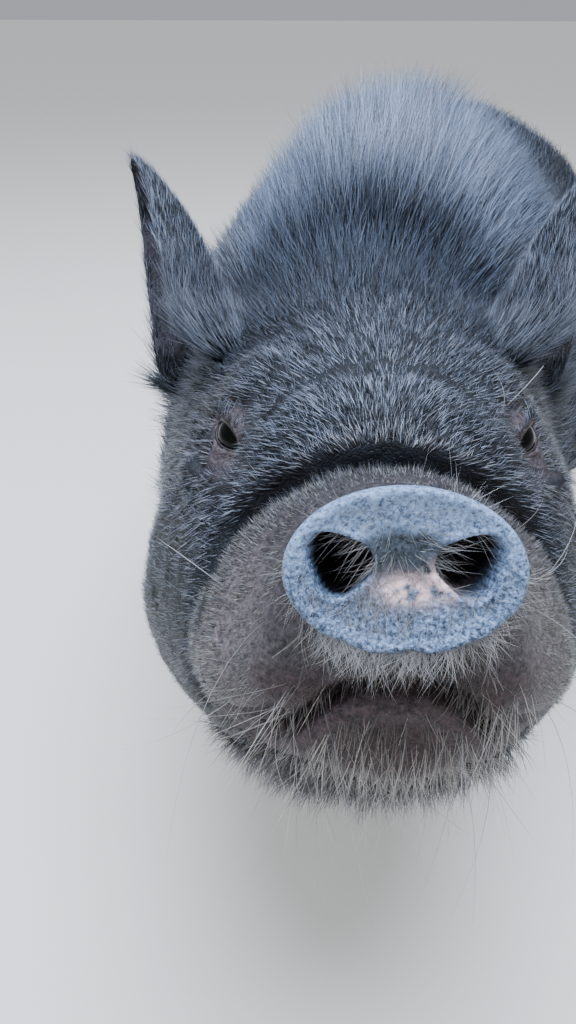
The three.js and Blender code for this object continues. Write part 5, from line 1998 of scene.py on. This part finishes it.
@dataclass
class Studio:
    """The pale floor, the soft lights and the camera."""

    spine: Spine
    reach: float = 235.0
    aside: float = 36.0
    below: float = 19.0
    pitch: float = math.radians(33)
    turn: float = math.radians(15.6)
    lens: float = 27.07
    floor_half: float = 60000.0

    def camera(self) -> None:
        """Stands the camera before the snout: the disc is aside to the right, below, and at its reach."""
        level = math.cos(self.pitch)
        ahead = (-math.sin(self.turn) * level, math.cos(self.turn) * level, -math.sin(self.pitch))
        forward = np.array(ahead)
        right = np.array([math.cos(self.turn), math.sin(self.turn), 0.0])
        up = np.cross(right, forward)
        place = self.spine.origins[0] - self.aside * right + self.below * up - self.reach * forward
        data = bpy.data.cameras.new("camera")
        data.lens = self.lens
        data.clip_start = 0.01
        obj = in_scene("camera", data)
        obj.location = place * MM
        obj.rotation_euler = Vector(forward).to_track_quat("-Z", "Y").to_euler()
        bpy.context.scene.camera = obj

    def floor(self) -> None:
        """A wide pale floor under the claws."""
        corners = self.floor_half * np.array([[-1.0, -1, 0], [1, -1, 0], [1, 1, 0], [-1, 1, 0]])
        floor = mesh_object("floor", corners, np.array([[0, 1, 2, 3]]))
        shader = Shader("pale_floor")
        floor.data.materials.append(shader.finish({"Base Color": linear("#d9d5cd"), "Roughness": 0.9}))

    def light(
        self,
        name: str,
        place: Spot,
        size: float,
        power: float,
        colour: str,
        mirrored: bool = True,
    ) -> None:
        """One round soft light that faces the pig, mirrored in wet surfaces or not.

        Args:
            name: The light's name.
            place: Where it stands, in metres.
            size: Its width in metres.
            power: Its power in watts.
            colour: Its sRGB hex colour.
            mirrored: Whether wet surfaces mirror it.
        """
        data = bpy.data.lights.new(name, "AREA")
        data.shape = "DISK"
        data.size = size
        data.energy = power
        data.color = linear(colour)[:3]
        obj = in_scene(name, data)
        obj.location = place
        obj.visible_glossy = mirrored
        aim = Vector((0, -0.2, 0.25)) - Vector(place)
        obj.rotation_euler = aim.to_track_quat("-Z", "Y").to_euler()

    def sun(self, strength: float, colour: str) -> None:
        """A very broad sun, so that the floor is as bright far away as under the pig."""
        data = bpy.data.lights.new("overcast", "SUN")
        data.angle = math.radians(110)
        data.energy = strength
        data.color = linear(colour)[:3]
        obj = in_scene("overcast", data)
        obj.rotation_euler = (math.radians(-30), math.radians(-28), 0)
        obj.visible_glossy = False

    def build(self) -> None:
        """Sets up everything round the pig."""
        self.camera()
        self.floor()
        self.sun(2.1, "#e9f0ff")
        self.light("sky", (0.1, -0.3, 2.2), 1.6, 112, "#dbe8ff")
        self.light("window", (-1.6, -1.5, 1.5), 1.1, 32, "#e2ecff", False)
        self.light("fill", (1.5, -1.8, 0.9), 1.3, 12, "#fff1e2", False)
        world = bpy.data.worlds.new("soft_room")
        bpy.context.scene.world = world
        world.use_nodes = True
        backdrop = world.node_tree.nodes["Background"]
        backdrop.inputs["Color"].default_value = linear("#dfe4ea")
        backdrop.inputs["Strength"].default_value = 0.55


def main() -> None:
    """Builds the pig over its frame, and the studio round it."""
    logging.basicConfig(level=logging.INFO, format="%(name)s: %(message)s")
    pig = Pig()
    Studio(pig.spine).build()
    Skin(pig).build(HideFinish().make())
    Eyeballs(pig.eyes).build(EyeFinish().make())
    Lids(pig.eyes).build(LidFinish().make())
    horn = HornFinish().make()
    for leg in pig.legs:
        Claws(leg).build(horn)
    # The black bristles' blue-grey tips are painted sky reflection.
    dark = BristleFinish("black_bristles", "#030405", "#a3b8da", "#c9c8cb", 0.38, 0.6).make()
    light = BristleFinish("pale_bristles", "#211d1d", "#eef2f8", "#efe4d2", 0.35, 0.6).make()
    Coat(pig, dark, light).build()


if __name__ == "__main__":
    main()
